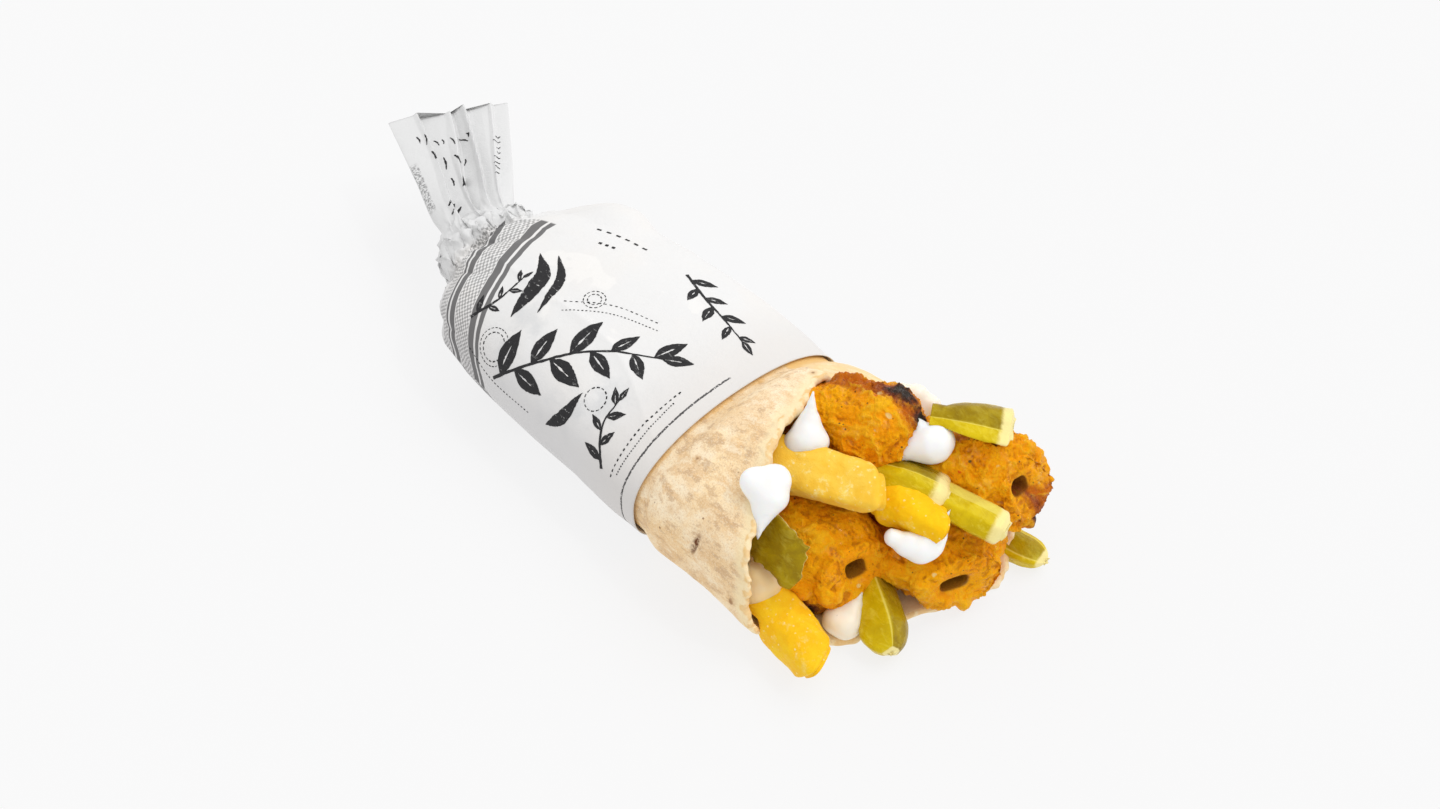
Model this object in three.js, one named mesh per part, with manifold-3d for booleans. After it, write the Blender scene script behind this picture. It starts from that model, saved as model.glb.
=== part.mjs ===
// A saj wrap lying on its side: thin flat bread rolled round skewered kebab, potato chips, pickles and
// garlic sauce, in a paper sleeve whose rear end is twisted shut into a pleated tail.
// Millimetres. +X runs from the twisted tail to the open end, +Z is up, and the wrap rests on Z = 0.
import * as THREE from "three";
import { mergeVertices } from "three/addons/utils/BufferGeometryUtils.js";
import Module from "manifold-3d";

const wasm = await Module();
wasm.setup();

// ---- driving dimensions ----
const PAPER_WALL = 0.8; // the sleeve's layers of paper, as one wall
const BREAD_WALL = 2.2; // two thin layers of bread, as one wall
const GAP = 0.35; // air left between neighbouring pieces
const AROUND = 36; // facets round the sleeve and the bread
const REAR_X = -104; // where the sleeve is twisted shut

// The sleeve's outline from the twist to its front edge at x = 0, and the bread's beyond it:
// [x, half-width on the -Y side, half-width on the +Y side, top, underside, sideways shift].
const OUTLINE = [
  [REAR_X, 13, 12.5, 33.5, 18, -4.5],
  [-100, 21.5, 18, 36, 9, -4],
  [-96, 28, 24, 38, 3.5, -3],
  [-90, 33, 30, 40, 0.6, -1.5],
  [-80, 36.5, 34.5, 41.5, 0, 0],
  [-60, 38.5, 37.5, 42.5, 0, 0],
  [-30, 39, 39.5, 42, 0, 0],
  [-14, 39.3, 39, 41, 0, 0],
  [0, 39.5, 38, 40, 0, 0],
  [16, 39.5, 38, 45, 0, 0],
  [30, 39.5, 39.5, 46.5, 0, 0],
  [45, 39.5, 41.5, 45.5, 0, 0],
  [60, 38.5, 43, 42, 0, 0],
  [75, 38, 43, 40, 0, 0],
];
// How far the bread reaches at each angle round the roll: 0 is the +Y side, 90 the top, 180 the -Y side.
const RIM = [
  [0, 52],
  [45, 31],
  [66, 16.5],
  [85, 19.5],
  [110, 27],
  [125, 32],
  [140, 38],
  [160, 43],
  [190, 45],
  [215, 49],
  [232, 54],
  [252, 61],
  [270, 66],
  [297, 74],
  [330, 69],
  [345, 62],
  [360, 52],
];
const TOP_POWER = 2.15; // roundness of the upper half of a section: 2 is an ellipse
const BASE_POWER = 2.7; // the lower half is squarer, as the wrap sags onto the table
const BASE_SINK = 1.4; // and what would sink below the table is pressed flat

// ---- small tools ----
const lerp = (a, b, k) => a + (b - a) * k;
const radians = (degrees) => (degrees * Math.PI) / 180;
const ease = (x, from, to) => THREE.MathUtils.smoothstep(x, from, to);

/** A point at angle on a unit circle that power squares off: 2 is round, more is squarer. */
function squared(angle, power) {
  return [Math.cos(angle), Math.sin(angle)].map((v) => Math.sign(v) * Math.abs(v) ** (2 / power));
}

/** Reads column c of a table at x, passing smoothly from row to row. */
function column(table, x, c) {
  const last = table.length - 1;
  if (x <= table[0][0]) return table[0][c];
  if (x >= table[last][0]) return table[last][c];
  const i = table.findIndex((row) => row[0] > x) - 1;
  const slope = (k) => {
    const [a, b] = [table[Math.max(k - 1, 0)], table[Math.min(k + 1, last)]];
    return (b[c] - a[c]) / (b[0] - a[0]);
  };
  const [p, q] = [table[i], table[i + 1]];
  const [span, u] = [q[0] - p[0], (x - p[0]) / (q[0] - p[0])];
  const [h00, h10] = [(1 + 2 * u) * (1 - u) ** 2, u * (1 - u) ** 2];
  const [h01, h11] = [u * u * (3 - 2 * u), u * u * (u - 1)];
  return h00 * p[c] + h10 * span * slope(i) + h01 * q[c] + h11 * span * slope(i + 1);
}

/** A closed skin over rings of equally many points, each end closed by a fan to its own middle point. */
function loft(rings) {
  const n = rings[0].length;
  const points = rings.flat();
  const faces = [];
  for (let r = 0; r + 1 < rings.length; r++)
    for (let j = 0; j < n; j++) {
      const [a, b] = [r * n + j, r * n + ((j + 1) % n)];
      faces.push([a, b, b + n], [a, b + n, a + n]);
    }
  for (const [r, front] of [[0, false], [rings.length - 1, true]]) {
    const middle = rings[r].reduce((m, p) => m.addScaledVector(p, 1 / n), new THREE.Vector3());
    const tip = points.push(middle) - 1;
    for (let j = 0; j < n; j++) {
      const [a, b] = [r * n + j, r * n + ((j + 1) % n)];
      faces.push(front ? [a, b, tip] : [b, a, tip]);
    }
  }
  const geometry = new THREE.BufferGeometry().setFromPoints(points);
  geometry.setIndex(faces.flat());
  return geometry;
}

/** A geometry as a solid that can be cut and joined, turned right side out. */
function solid(geometry) {
  geometry.deleteAttribute("normal");
  geometry.deleteAttribute("uv");
  const merged = mergeVertices(geometry, 1e-3);
  const triVerts = new Uint32Array(merged.index.array);
  const vertProperties = merged.attributes.position.array;
  const made = new wasm.Manifold(new wasm.Mesh({ numProp: 3, vertProperties, triVerts }));
  if (made.volume() > 0) return made;
  for (let i = 0; i < triVerts.length; i += 3)
    [triVerts[i + 1], triVerts[i + 2]] = [triVerts[i + 2], triVerts[i + 1]];
  return new wasm.Manifold(new wasm.Mesh({ numProp: 3, vertProperties, triVerts }));
}

/** The largest piece of a solid, without the scraps that a cut leaves. */
function largest(made) {
  return made.decompose().reduce((a, b) => (a.volume() > b.volume() ? a : b));
}

/** Three slow waves that make a surface uneven, from -1 to 1. Each seed gives another pattern. */
function lumps(seed, along, around) {
  return (
    0.5 * Math.sin(2 * around + 5.1 * along + seed * 2.3) +
    0.3 * Math.sin(3 * around - 9.7 * along + seed * 4.1) +
    0.2 * Math.sin(5 * around + 16.3 * along + seed * 1.7)
  );
}

// ---- the roll's own surface ----
/** A point on the roll at x and angle (radians), inset from the outline, its flat base lifted by lift. */
function rollPoint(x, angle, inset, lift = Math.max(inset, 0)) {
  const [across, up] = squared(angle, Math.sin(angle) >= 0 ? TOP_POWER : BASE_POWER);
  const [near, far, top, under, shift] = [1, 2, 3, 4, 5].map((k) => column(OUTLINE, x, k));
  const sink = BASE_SINK * ease(x, REAR_X, -88);
  const middle = (top + under - sink) / 2;
  const halfWidth = (across >= 0 ? far : near) - inset;
  const halfHeight = (top - under + sink) / 2 - inset;
  const lowest = Math.max(under, 0) + lift;
  return new THREE.Vector3(x, shift + halfWidth * across, Math.max(middle + halfHeight * up, lowest));
}

/** One ring round the roll, where pointAt gives the point at each angle. */
function ringOf(pointAt) {
  return Array.from({ length: AROUND }, (_, j) => pointAt((2 * Math.PI * j) / AROUND));
}

// ---- paper sleeve ----
const TAIL_PATH = new THREE.CatmullRomCurve3([
  new THREE.Vector3(REAR_X - 1, -4.4, 26),
  new THREE.Vector3(-109.5, -3.9, 28),
  new THREE.Vector3(-120, 0, 29),
  new THREE.Vector3(-133, 7.2, 30),
  new THREE.Vector3(-158.5, 20.8, 31),
]);
// Along the tail: [share of its length, half-width, half-thickness, depth of its pleats].
const TAIL = [
  [0, 12.4, 8.2, 0.2],
  [0.07, 13, 8, 0.9],
  [0.14, 11.8, 5.8, 0.9],
  [0.26, 13, 4, 1.2],
  [0.5, 15, 2.6, 1.6],
  [1, 19.2, 1.5, 2],
];
const TAIL_SHARES = [1, 0.9, 0.78, 0.66, 0.54, 0.42, 0.32, 0.23, 0.15, 0.07];
const PLEATS = 4;
const GATHERS = 8; // folds that run into the twist
const GATHER_DEPTH = 1.3;
const LAP_RISE = 3.8; // the sleeve's lapped edge stands off here, high on the far side
const LAP_X = -80;
const LAP_LENGTH = 16;
const LAP_ANGLE = 46;
const LAP_SPREAD = 24;

/** A ring of the tail: a flat oval across its path, with both faces pleated alike. */
function tailRing(share) {
  const [halfWidth, halfThick, pleat] = [1, 2, 3].map((k) => column(TAIL, share, k));
  const middle = TAIL_PATH.getPointAt(share);
  const forward = TAIL_PATH.getTangentAt(share);
  const side = new THREE.Vector3(0, 0, 1).cross(forward).normalize();
  const up = forward.clone().cross(side);
  return ringOf((angle) => {
    const across = Math.cos(angle);
    const lift = halfThick * Math.sin(angle) + pleat * Math.sin(PLEATS * Math.PI * across + 0.6);
    return middle
      .clone()
      .addScaledVector(side, -across * halfWidth)
      .addScaledVector(up, lift);
  });
}

/** How far the sleeve's surface lies inside its plain outline: its gathers go in, its lap stands out. */
function paperInset(x, angle) {
  const gathered = GATHER_DEPTH * (1 - ease(x, -98, -80));
  const gathers = gathered * (0.5 - 0.5 * Math.cos(GATHERS * angle));
  const along = Math.abs(x - LAP_X) / LAP_LENGTH;
  const around = Math.abs((angle * 180) / Math.PI - LAP_ANGLE) / LAP_SPREAD;
  return gathers - LAP_RISE * (1 - ease(Math.hypot(along, around), 0.15, 1));
}

/** The sleeve: tail, twist and gathered rear, then the plain sleeve to its front edge, and back inside. */
function paperSleeve() {
  const inset = (x, depth) => ringOf((angle) => rollPoint(x, angle, depth));
  const gathered = (x) => ringOf((angle) => rollPoint(x, angle, paperInset(x, angle)));
  const outside = [-101.5, -98.5, -95, -91, -86, -80, -74, -66, -54, -40, -26, -12, 0];
  const inside = [0, -14, -30, -46, -62, -78, -85];
  return solid(
    loft([
      ...TAIL_SHARES.map(tailRing),
      ...outside.map(gathered),
      ...inside.map((x) => inset(x, PAPER_WALL)),
      inset(-88.5, 4),
      inset(-91, 11),
    ]),
  );
}

// ---- bread ----
const BREAD_SWELL = 0.9; // the bread stands out this far once it is clear of the sleeve
const BREAD_REAR = -84;
const LIP_WAVE = 0.8; // the lip wavers in and out by this much
const SHEET_STEP = 1.2; // the near sheet laps over the far one along the top of the roll
const SHEET_EDGE = 66; // at this angle
const SHEET_FADE = [80, 130]; // and the step fades out between these
const SLEEVE_MOUTH = [0.5, 9]; // where the bread swells out of the sleeve, along X

const rimX = (angle) => column(RIM, (angle * 180) / Math.PI, 1);

/** A point of the bread at x and angle, at a depth in its wall: 0 is its outside. */
function breadPoint(x, angle, depth) {
  const degrees = (angle * 180) / Math.PI;
  const out = ease(x, ...SLEEVE_MOUTH); // 0 inside the sleeve, 1 where the bread is clear of it
  const over = ease(degrees, SHEET_EDGE - 4, SHEET_EDGE + 4) * (1 - ease(degrees, ...SHEET_FADE));
  const wave = LIP_WAVE * Math.sin(7 * angle + 0.05 * x) * ease(x / rimX(angle), 0.5, 1);
  const inset = lerp(PAPER_WALL + GAP, -BREAD_SWELL - SHEET_STEP * over - wave, out) + depth;
  const lift = lerp(PAPER_WALL + GAP, 0, out) + depth;
  return rollPoint(x, angle, inset, Math.max(lift, 0));
}

/** A ring of the bread beyond the sleeve: share goes from 0 at the sleeve to 1 at the rim. */
function breadRing(share, depth, extra = 0) {
  return ringOf((angle) => breadPoint(share * (rimX(angle) + extra), angle, depth));
}

/** The bread: a pocket from its closed rear to its slanting rim. grow thickens its wall. */
function bread(grow = 0) {
  const ring = (x, depth) => ringOf((angle) => breadPoint(x, angle, depth));
  const shares = [0.16, 0.4, 0.64, 0.86, 1];
  const hidden = [0, -18, -40, -62, BREAD_REAR];
  const inner = BREAD_WALL + grow;
  const outside = [
    ring(BREAD_REAR - 2 - grow, 8),
    ...hidden.toReversed().map((x) => ring(x, -grow)),
    ...shares.map((k) => breadRing(k, -grow, grow)),
  ];
  const lip = [breadRing(1, BREAD_WALL / 2, 0.8 + 2 * grow)];
  const inside = [
    ...shares.toReversed().map((k) => breadRing(k, inner, grow)),
    ...hidden.slice(0, -1).map((x) => ring(x, inner)),
    ring(BREAD_REAR + 5 + grow, inner + 2),
    ring(BREAD_REAR + 2 + grow, inner + 10),
  ];
  return solid(loft([...outside, ...lip, ...inside]));
}

/** The packed sauce and crumbs in the bread, up to a slanting front that lies behind the rim. */
function packing(behind) {
  const depth = BREAD_WALL + 2 * GAP;
  const ring = (x) => ringOf((angle) => breadPoint(x, angle, depth));
  const front = (share) => ringOf((angle) => breadPoint(share * (rimX(angle) - behind), angle, depth));
  return solid(loft([...[-74, -30].map(ring), ...[0.1, 1].map(front)]));
}

// ---- pieces of filling ----
const CHIP_POWER = 4; // chips and skewers are squared bars with rounded edges
const SKEWER_POWER = 3.4;

/**
 * A stick of food along a curve through path. shape(share, angle) gives [across, up] from the curve.
 * Returns a function of grow, which makes the stick larger all round to cut room for it out of a
 * neighbour, and of coarse, which gives it fewer faces. hole is what a skewer left in its front end.
 */
function stick({ path, shape, around = 16, rings = 10, roll = 0, hole = null }) {
  const curve = new THREE.CatmullRomCurve3(path.map((p) => new THREE.Vector3(...p)));
  const length = curve.getLength();
  const ringAt = (share, faces, pointAt) => {
    const on = THREE.MathUtils.clamp(share, 0, 1);
    const forward = curve.getTangentAt(on);
    const middle = curve.getPointAt(on).addScaledVector(forward, (share - on) * length);
    const across = new THREE.Vector3(0, 0, 1).cross(forward).normalize();
    const up = forward.clone().cross(across);
    across.applyAxisAngle(forward, radians(roll));
    up.applyAxisAngle(forward, radians(roll));
    return Array.from({ length: faces }, (_, j) => {
      const [a, u] = pointAt((2 * Math.PI * j) / faces);
      return middle.clone().addScaledVector(across, a).addScaledVector(up, u);
    });
  };
  return (grow = 0, coarse = false) => {
    const [faces, count] = coarse ? [8, 7] : [around, rings];
    const all = Array.from({ length: count }, (_, i) => {
      const share = 0.5 - 0.5 * Math.cos((Math.PI * (i + 0.35)) / (count - 0.3));
      return ringAt(lerp(-grow / length, 1 + grow / length, share), faces, (angle) => {
        const [a, u] = shape(share, angle);
        const size = Math.hypot(a, u);
        return [a * (1 + grow / size), u * (1 + grow / size)];
      });
    });
    const whole = solid(loft(all));
    return hole && !grow ? whole.subtract(skewer(hole, curve.getTangentAt(1))) : whole;
  };
}

/** A flat skewer with rounded edges, which passes through a point and ends deep behind it. */
function skewer({ through, wide, high, deep = 22 }, forward) {
  const across = new THREE.Vector3(0, 0, 1).cross(forward).normalize();
  const up = forward.clone().cross(across);
  const rings = [-deep, 12].map((along) =>
    Array.from({ length: 8 }, (_, j) => {
      const [a, u] = squared((Math.PI * (j + 0.5)) / 4, SKEWER_POWER);
      return new THREE.Vector3(...through)
        .addScaledVector(forward, along)
        .addScaledVector(across, (wide / 2) * a)
        .addScaledVector(up, (high / 2) * u);
    }),
  );
  return solid(loft(rings));
}

/** How full a stick is at a share of its length: it rounds over its rear and front parts. */
function fullness(share, rear, front, least) {
  const end = (k, part) => (k >= part ? 1 : Math.sqrt(1 - (1 - k / part) ** 2));
  return Math.max(end(share, rear) * end(1 - share, front), least);
}

/** Ground kebab pressed on a skewer: a lumpy rod whose half-sizes pass from rear to front. */
function kebab({ seed, path, rear, front, hole, blunt = 0.08, least = 0.7 }) {
  const shape = (share, angle) => {
    const size = fullness(share, 0.25, blunt, least) * (1 + 0.1 * lumps(seed, share, angle));
    const [wide, high] = [0, 1].map((k) => lerp(rear[k], front[k], ease(share, 0, 1)));
    return [wide * size * Math.cos(angle), high * size * Math.sin(angle)];
  };
  return stick({ path, shape, hole, around: 16, rings: 12 });
}

/** A thick-cut potato chip: a squared bar with rounded edges and blunt ends, a little uneven. */
function chip({ seed, path, wide, high, roll }) {
  const shape = (share, angle) => {
    const size = fullness(share, 0.2, 0.08, 0.7) * (1 + 0.05 * lumps(seed, share, angle));
    const [across, up] = squared(angle, CHIP_POWER);
    return [(wide / 2) * size * across, (high / 2) * size * up];
  };
  return stick({ path, shape, roll, rings: 8 });
}

/** A pickle spear: a wedge of cucumber, three-sided with rounded edges. */
function spear({ seed, path, wide, high, roll }) {
  const shape = (share, angle) => {
    const size = fullness(share, 0.3, 0.1, 0.45) * (1 + 0.03 * lumps(seed, share, angle));
    const wedge = 1 + 0.15 * Math.cos(3 * (angle - Math.PI / 2));
    return [(wide / 2) * size * wedge * Math.cos(angle), (high / 2) * size * wedge * Math.sin(angle)];
  };
  return stick({ path, shape, roll, around: 12, rings: 8 });
}

/** A thin slice of pickle, wide in its middle and ragged along its edges. */
function slice({ seed, path, wide, thick, roll }) {
  const shape = (share, angle) => {
    const broad = Math.sin(Math.PI * Math.min(0.12 + 0.82 * share, 1)) ** 0.6;
    const ragged = broad * (1 + 0.1 * Math.sin(23 * share + seed));
    return [(wide / 2) * ragged * Math.cos(angle), (thick / 2) * lerp(broad, 1, 0.5) * Math.sin(angle)];
  };
  return stick({ path, shape, roll, around: 12, rings: 9 });
}

// A dollop's outline from underneath to its tip: [share of its half-width, share of its half-height].
const DOLLOP = [
  [0.35, -1],
  [0.78, -0.82],
  [1, -0.25],
  [0.95, 0.25],
  [0.74, 0.62],
  [0.45, 0.88],
  [0.24, 1.05],
  [0.1, 1.2],
];
const DRAWN_UP = 4; // the rows above this one lean towards the tip

/** A dollop of thick sauce, round and sagging, drawn up to a peak that lies at peak from its middle. */
function dollop({ seed, middle, half, peak, drip = null }) {
  return (grow = 0) => {
    const rings = DOLLOP.map(([wide, high], row) => {
      const drawn = Math.max(0, (row - DRAWN_UP) / (DOLLOP.length - 1 - DRAWN_UP)) ** 1.5;
      return Array.from({ length: 12 }, (_, j) => {
        const angle = (2 * Math.PI * j) / 12;
        const size = wide * (1 + 0.07 * lumps(seed, high, angle));
        const away = new THREE.Vector3(Math.cos(angle) * size, Math.sin(angle) * size, high);
        const plain = away.clone().multiply(new THREE.Vector3(...half.map((h) => h + grow)));
        const tip = new THREE.Vector3(...peak).addScaledVector(away.setZ(0), 1 + grow);
        return plain.lerp(tip, drawn).add(new THREE.Vector3(...middle));
      });
    });
    const blob = solid(loft(rings));
    return drip ? blob.add(drip(grow)) : blob;
  };
}

/** A runnel of sauce that hangs from a dollop, tapering to a round tip. */
function runnel(path, width) {
  const shape = (share, angle) => {
    const size = (width / 2) * lerp(1, 0.45, share) * fullness(share, 0.2, 0.3, 0.4);
    return [size * Math.cos(angle), size * Math.sin(angle)];
  };
  return stick({ path, shape, around: 10, rings: 6 });
}

const ROUND_SKEWER = { wide: 4.8, high: 4.4 };
const FLAT_SKEWER = { wide: 8, high: 4 };

// The filling, the firmest pieces first: where two would meet, the later is shaped round the earlier.
const FILLING = {
  kebab_near: kebab({
    seed: 1,
    path: [[-68, -13, 14.5], [-20, -15, 15], [24, -11.5, 16], [56, -8.4, 16]],
    rear: [11, 10.5],
    front: [14.8, 14.2],
    hole: { ...ROUND_SKEWER, through: [54, -8.8, 18.8] },
  }),
  kebab_front: kebab({
    seed: 2,
    path: [[-64, 15, 13], [-10, 20, 13], [42, 20.5, 12.6], [73.5, 12.4, 11.8]],
    rear: [12, 9.5],
    front: [19.4, 11.8],
    hole: { ...FLAT_SKEWER, through: [72.2, 10.9, 12.4] },
  }),
  kebab_far: kebab({
    seed: 3,
    path: [[8, 24, 26], [28, 26.5, 26.5], [46, 30, 28], [60, 34.3, 29.2], [72.5, 38, 29.2]],
    rear: [8, 8],
    front: [13, 12.8],
    hole: { ...ROUND_SKEWER, through: [70.4, 35.4, 31.6] },
  }),
  kebab_top: kebab({
    seed: 4,
    path: [[5, 6, 30], [22, 12, 37.6], [46.5, 22.5, 41]],
    rear: [9, 8.5],
    front: [12.4, 11.4],
    blunt: 0.26,
    least: 0.3,
  }),
  chip_top: chip({
    seed: 5,
    path: [[-8, -17.6, 29], [18, -11.6, 35.4], [51, 2, 37.6]],
    wide: 15,
    high: 10.8,
    roll: 8,
  }),
  chip_middle: chip({
    seed: 6,
    path: [[44, 5, 28.6], [54, 7, 30.8], [65, 9.2, 29.4]],
    wide: 13.6,
    high: 11.4,
    roll: 12,
  }),
  chip_low: chip({
    seed: 7,
    path: [[22, -27, 10.5], [44, -29, 9.4], [65, -31.6, 7]],
    wide: 14.8,
    high: 13,
    roll: -8,
  }),
  pickle_long: spear({
    seed: 8,
    path: [[36, 14, 31.6], [54, 16, 31.4], [77, 24, 27.4]],
    wide: 11.6,
    high: 8,
    roll: 8,
  }),
  pickle_top: spear({
    seed: 9,
    path: [[45, 27, 45.4], [54, 33.6, 45.2], [62.5, 40, 43.8]],
    wide: 10.6,
    high: 8.4,
    roll: 16,
  }),
  pickle_curved: spear({
    seed: 10,
    path: [[40, 8.5, 33], [50, 12.5, 35.2], [61.5, 18, 33]],
    wide: 10,
    high: 6.6,
    roll: 4,
  }),
  pickle_leaf: slice({
    seed: 11,
    path: [[33, -20.5, 33.5], [40, -24.5, 29.5], [49, -28, 21.5]],
    wide: 17,
    thick: 3,
    roll: 38,
  }),
  pickle_wedge: spear({
    seed: 12,
    path: [[50, -1, 6], [60, -6.5, 7.2], [74, -14.4, 6]],
    wide: 14,
    high: 12,
    roll: -14,
  }),
  pickle_low: spear({
    seed: 13,
    path: [[50, 34, 5.2], [64, 37, 4.2], [79.5, 41, 3.8]],
    wide: 10.4,
    high: 7,
    roll: 10,
  }),
  sauce_near: dollop({
    seed: 14,
    middle: [33.6, -22.4, 44],
    half: [7.2, 6.8, 6.2],
    peak: [-1, 1.4, 7.6],
    drip: runnel([[33.6, -22.6, 43], [36, -24.4, 37.5], [36.4, -25.6, 33]], 9),
  }),
  sauce_peak: dollop({ seed: 15, middle: [25.6, -0.4, 44], half: [6, 6.4, 5.6], peak: [0.4, 2.6, 12] }),
  sauce_far: dollop({ seed: 16, middle: [49, 22.2, 41.4], half: [7.4, 7.4, 5.8], peak: [1, 3.6, 8] }),
  sauce_middle: dollop({ seed: 17, middle: [63.6, 4, 27], half: [6.4, 8.4, 4.8], peak: [3.4, 6.4, 8] }),
  sauce_side: dollop({ seed: 18, middle: [39, -29.5, 16], half: [7, 5.8, 6.8], peak: [2, 1, 8] }),
  sauce_low: dollop({ seed: 19, middle: [58, -15.6, 6.6], half: [6.4, 6.8, 5.2], peak: [2, 3.5, 7.6] }),
  sauce_rear: dollop({ seed: 20, middle: [34, 33, 39], half: [7.4, 6.6, 5], peak: [2, 1.5, 7] }),
};
const CORE_BEHIND = 24; // the packed sauce inside starts this far behind the rim
const CORE_ROOM = 2.4; // and leaves this much room round the pieces that run through it

/** Cuts room for the other solids out of one, wherever they meet it. */
function shapedRound(made, others) {
  for (const other of others) {
    const [a, b] = [made.boundingBox(), other.boundingBox()];
    const apart = [0, 1, 2].some((c) => a.min[c] > b.max[c] || b.min[c] > a.max[c]);
    if (!apart && made.intersect(other).volume() > 0) made = largest(made.subtract(other));
  }
  return made;
}

// ---- assembly ----
const LOOKS = {
  paper: [0xe6e3de, 0.75],
  bread: [0xe2c299, 0.85],
  kebab: [0xc4701c, 0.6],
  chip: [0xe3b52f, 0.55],
  pickle: [0x9a9a22, 0.3],
  sauce: [0xf5f2ea, 0.35],
};

/** A solid as a named mesh. The first word of its name says what it is made of. */
function meshOf(name, made) {
  const { vertProperties, triVerts } = made.getMesh();
  const geometry = new THREE.BufferGeometry();
  geometry.setAttribute("position", new THREE.BufferAttribute(vertProperties, 3));
  geometry.setIndex(new THREE.BufferAttribute(triVerts, 1));
  geometry.computeVertexNormals();
  const [color, roughness] = LOOKS[name.split("_")[0]];
  const material = new THREE.MeshStandardMaterial({ color, roughness, metalness: 0 });
  const mesh = new THREE.Mesh(geometry, material);
  mesh.name = name;
  return mesh;
}

const wrap = new THREE.Group();
wrap.add(meshOf("paper_sleeve", paperSleeve()));
wrap.add(meshOf("bread", bread()));

const table = solid(new THREE.BoxGeometry(400, 200, 40).translate(0, 0, -20 + 0.05));
const taken = [table, bread(GAP)];
for (const [name, make] of Object.entries(FILLING)) {
  wrap.add(meshOf(name, shapedRound(make(0), taken)));
  taken.push(make(GAP));
}
const inCore = Object.values(FILLING).map((make) => make(CORE_ROOM, true));
wrap.add(meshOf("sauce_core", shapedRound(packing(CORE_BEHIND), [bread(GAP), ...inCore])));

// The origin lies under the middle of the wrap.
const box = new THREE.Box3().setFromObject(wrap);
const middle = box.getCenter(new THREE.Vector3());
wrap.position.set(-middle.x, -middle.y, -box.min.z);

export default wrap;
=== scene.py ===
"""A saj wrap in a printed paper sleeve: thin bread round kebab, potato chips, pickles and garlic sauce.

Lengths in the shapes are millimetres, measured from under the middle of the sleeve's mouth: +X points
out of the mouth, +Z up. placed() turns them into metres in the part's own frame.
"""

import math

import bpy
import numpy as np
from mathutils import Matrix, Vector


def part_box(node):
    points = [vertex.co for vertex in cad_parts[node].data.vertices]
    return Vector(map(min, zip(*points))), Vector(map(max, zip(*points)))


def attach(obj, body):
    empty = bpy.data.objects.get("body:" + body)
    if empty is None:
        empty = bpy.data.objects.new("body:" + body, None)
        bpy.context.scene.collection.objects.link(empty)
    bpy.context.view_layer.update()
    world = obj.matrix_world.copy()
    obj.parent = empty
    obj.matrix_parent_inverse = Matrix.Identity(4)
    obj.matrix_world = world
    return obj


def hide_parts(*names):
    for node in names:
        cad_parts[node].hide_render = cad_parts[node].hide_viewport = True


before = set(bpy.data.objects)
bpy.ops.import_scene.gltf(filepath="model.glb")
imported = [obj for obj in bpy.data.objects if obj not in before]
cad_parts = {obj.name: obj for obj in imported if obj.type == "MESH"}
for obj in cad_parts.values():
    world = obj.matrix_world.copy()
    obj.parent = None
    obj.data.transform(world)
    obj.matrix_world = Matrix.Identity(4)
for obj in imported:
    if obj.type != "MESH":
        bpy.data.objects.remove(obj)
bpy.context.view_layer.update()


# ---- camera, light and table ----
# The wrap lies on a white table lit from within, as product tables are, and is lit from all round, so
# its shadow is a thin soft edge. A broad lamp overhead shapes it, and a small bright one gives glints.
MM = 0.001
NEAR_HALF_WIDTH = 39.5  # the sleeve's half-width on its -Y side
sleeve_low, sleeve_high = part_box("paper_sleeve")
MOUTH = np.array([sleeve_high.x, sleeve_low.y + NEAR_HALF_WIDTH * MM, 0.0])

CAMERA_AZIMUTH = math.radians(47.5)
CAMERA_ELEVATION = math.radians(46)
CAMERA_DISTANCE = 604
LOOK_AT = np.array([-10, 1.5, 25])
LENS = 54
SENSOR = 36

TABLE_SIZE = 6.0
TABLE_DROP = 0.1  # how far the table lies under the wrap, so that the two never share a face
TABLE_LOOK = {
    "Base Color": (0.13, 0.13, 0.13, 1),
    "Roughness": 0.9,
    "Specular IOR Level": 0.0,
    "Emission Color": (0.795, 0.794, 0.796, 1),
    "Emission Strength": 1.0,
}
SKY_LOOK = {"Color": (1.0, 1.0, 1.0, 1), "Strength": 0.88}
LAMP_DISTANCE = 1000
# Each lamp: [turn from +X towards +Y, height above the table, width of its disc, strength], with the
# first three in degrees.
LAMPS = {
    "overhead": [80, 60, 45, 0.9],
    "sparkle": [30, 55, 5, 0.30],
}


def placed(points):
    """Millimetres from the sleeve's mouth, as metres in the part's frame: scaled, then moved."""
    return np.asarray(points, float) * MM + MOUTH


def toward(turn, height):
    """The unit direction at a turn from +X and a height above level, both in radians."""
    flat = math.cos(height)
    return np.array([math.cos(turn) * flat, math.sin(turn) * flat, math.sin(height)])


def aimed(thing, direction, distance):
    """Puts a camera or light distance mm from the middle of the view, looking back at it."""
    start, end = Vector(placed(LOOK_AT + direction * distance)), Vector(placed(LOOK_AT))
    turn = (end - start).to_track_quat("-Z", "Y").to_matrix().to_4x4()
    thing.matrix_world = Matrix.Translation(start) @ turn
    bpy.context.scene.collection.objects.link(thing)


to_eye = toward(CAMERA_AZIMUTH - math.pi / 2, CAMERA_ELEVATION)
camera = bpy.data.objects.new("camera", bpy.data.cameras.new("camera"))
camera.data.lens = LENS
camera.data.sensor_width = SENSOR
aimed(camera, to_eye, CAMERA_DISTANCE)
bpy.context.scene.camera = camera

for lamp_name, (lamp_turn, lamp_height, lamp_width, lamp_strength) in LAMPS.items():
    lamp = bpy.data.lights.new(lamp_name, "SUN")
    lamp.energy = lamp_strength
    lamp.angle = math.radians(lamp_width)
    lamp_object = bpy.data.objects.new(lamp_name, lamp)
    aimed(lamp_object, toward(math.radians(lamp_turn), math.radians(lamp_height)), LAMP_DISTANCE)

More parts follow.
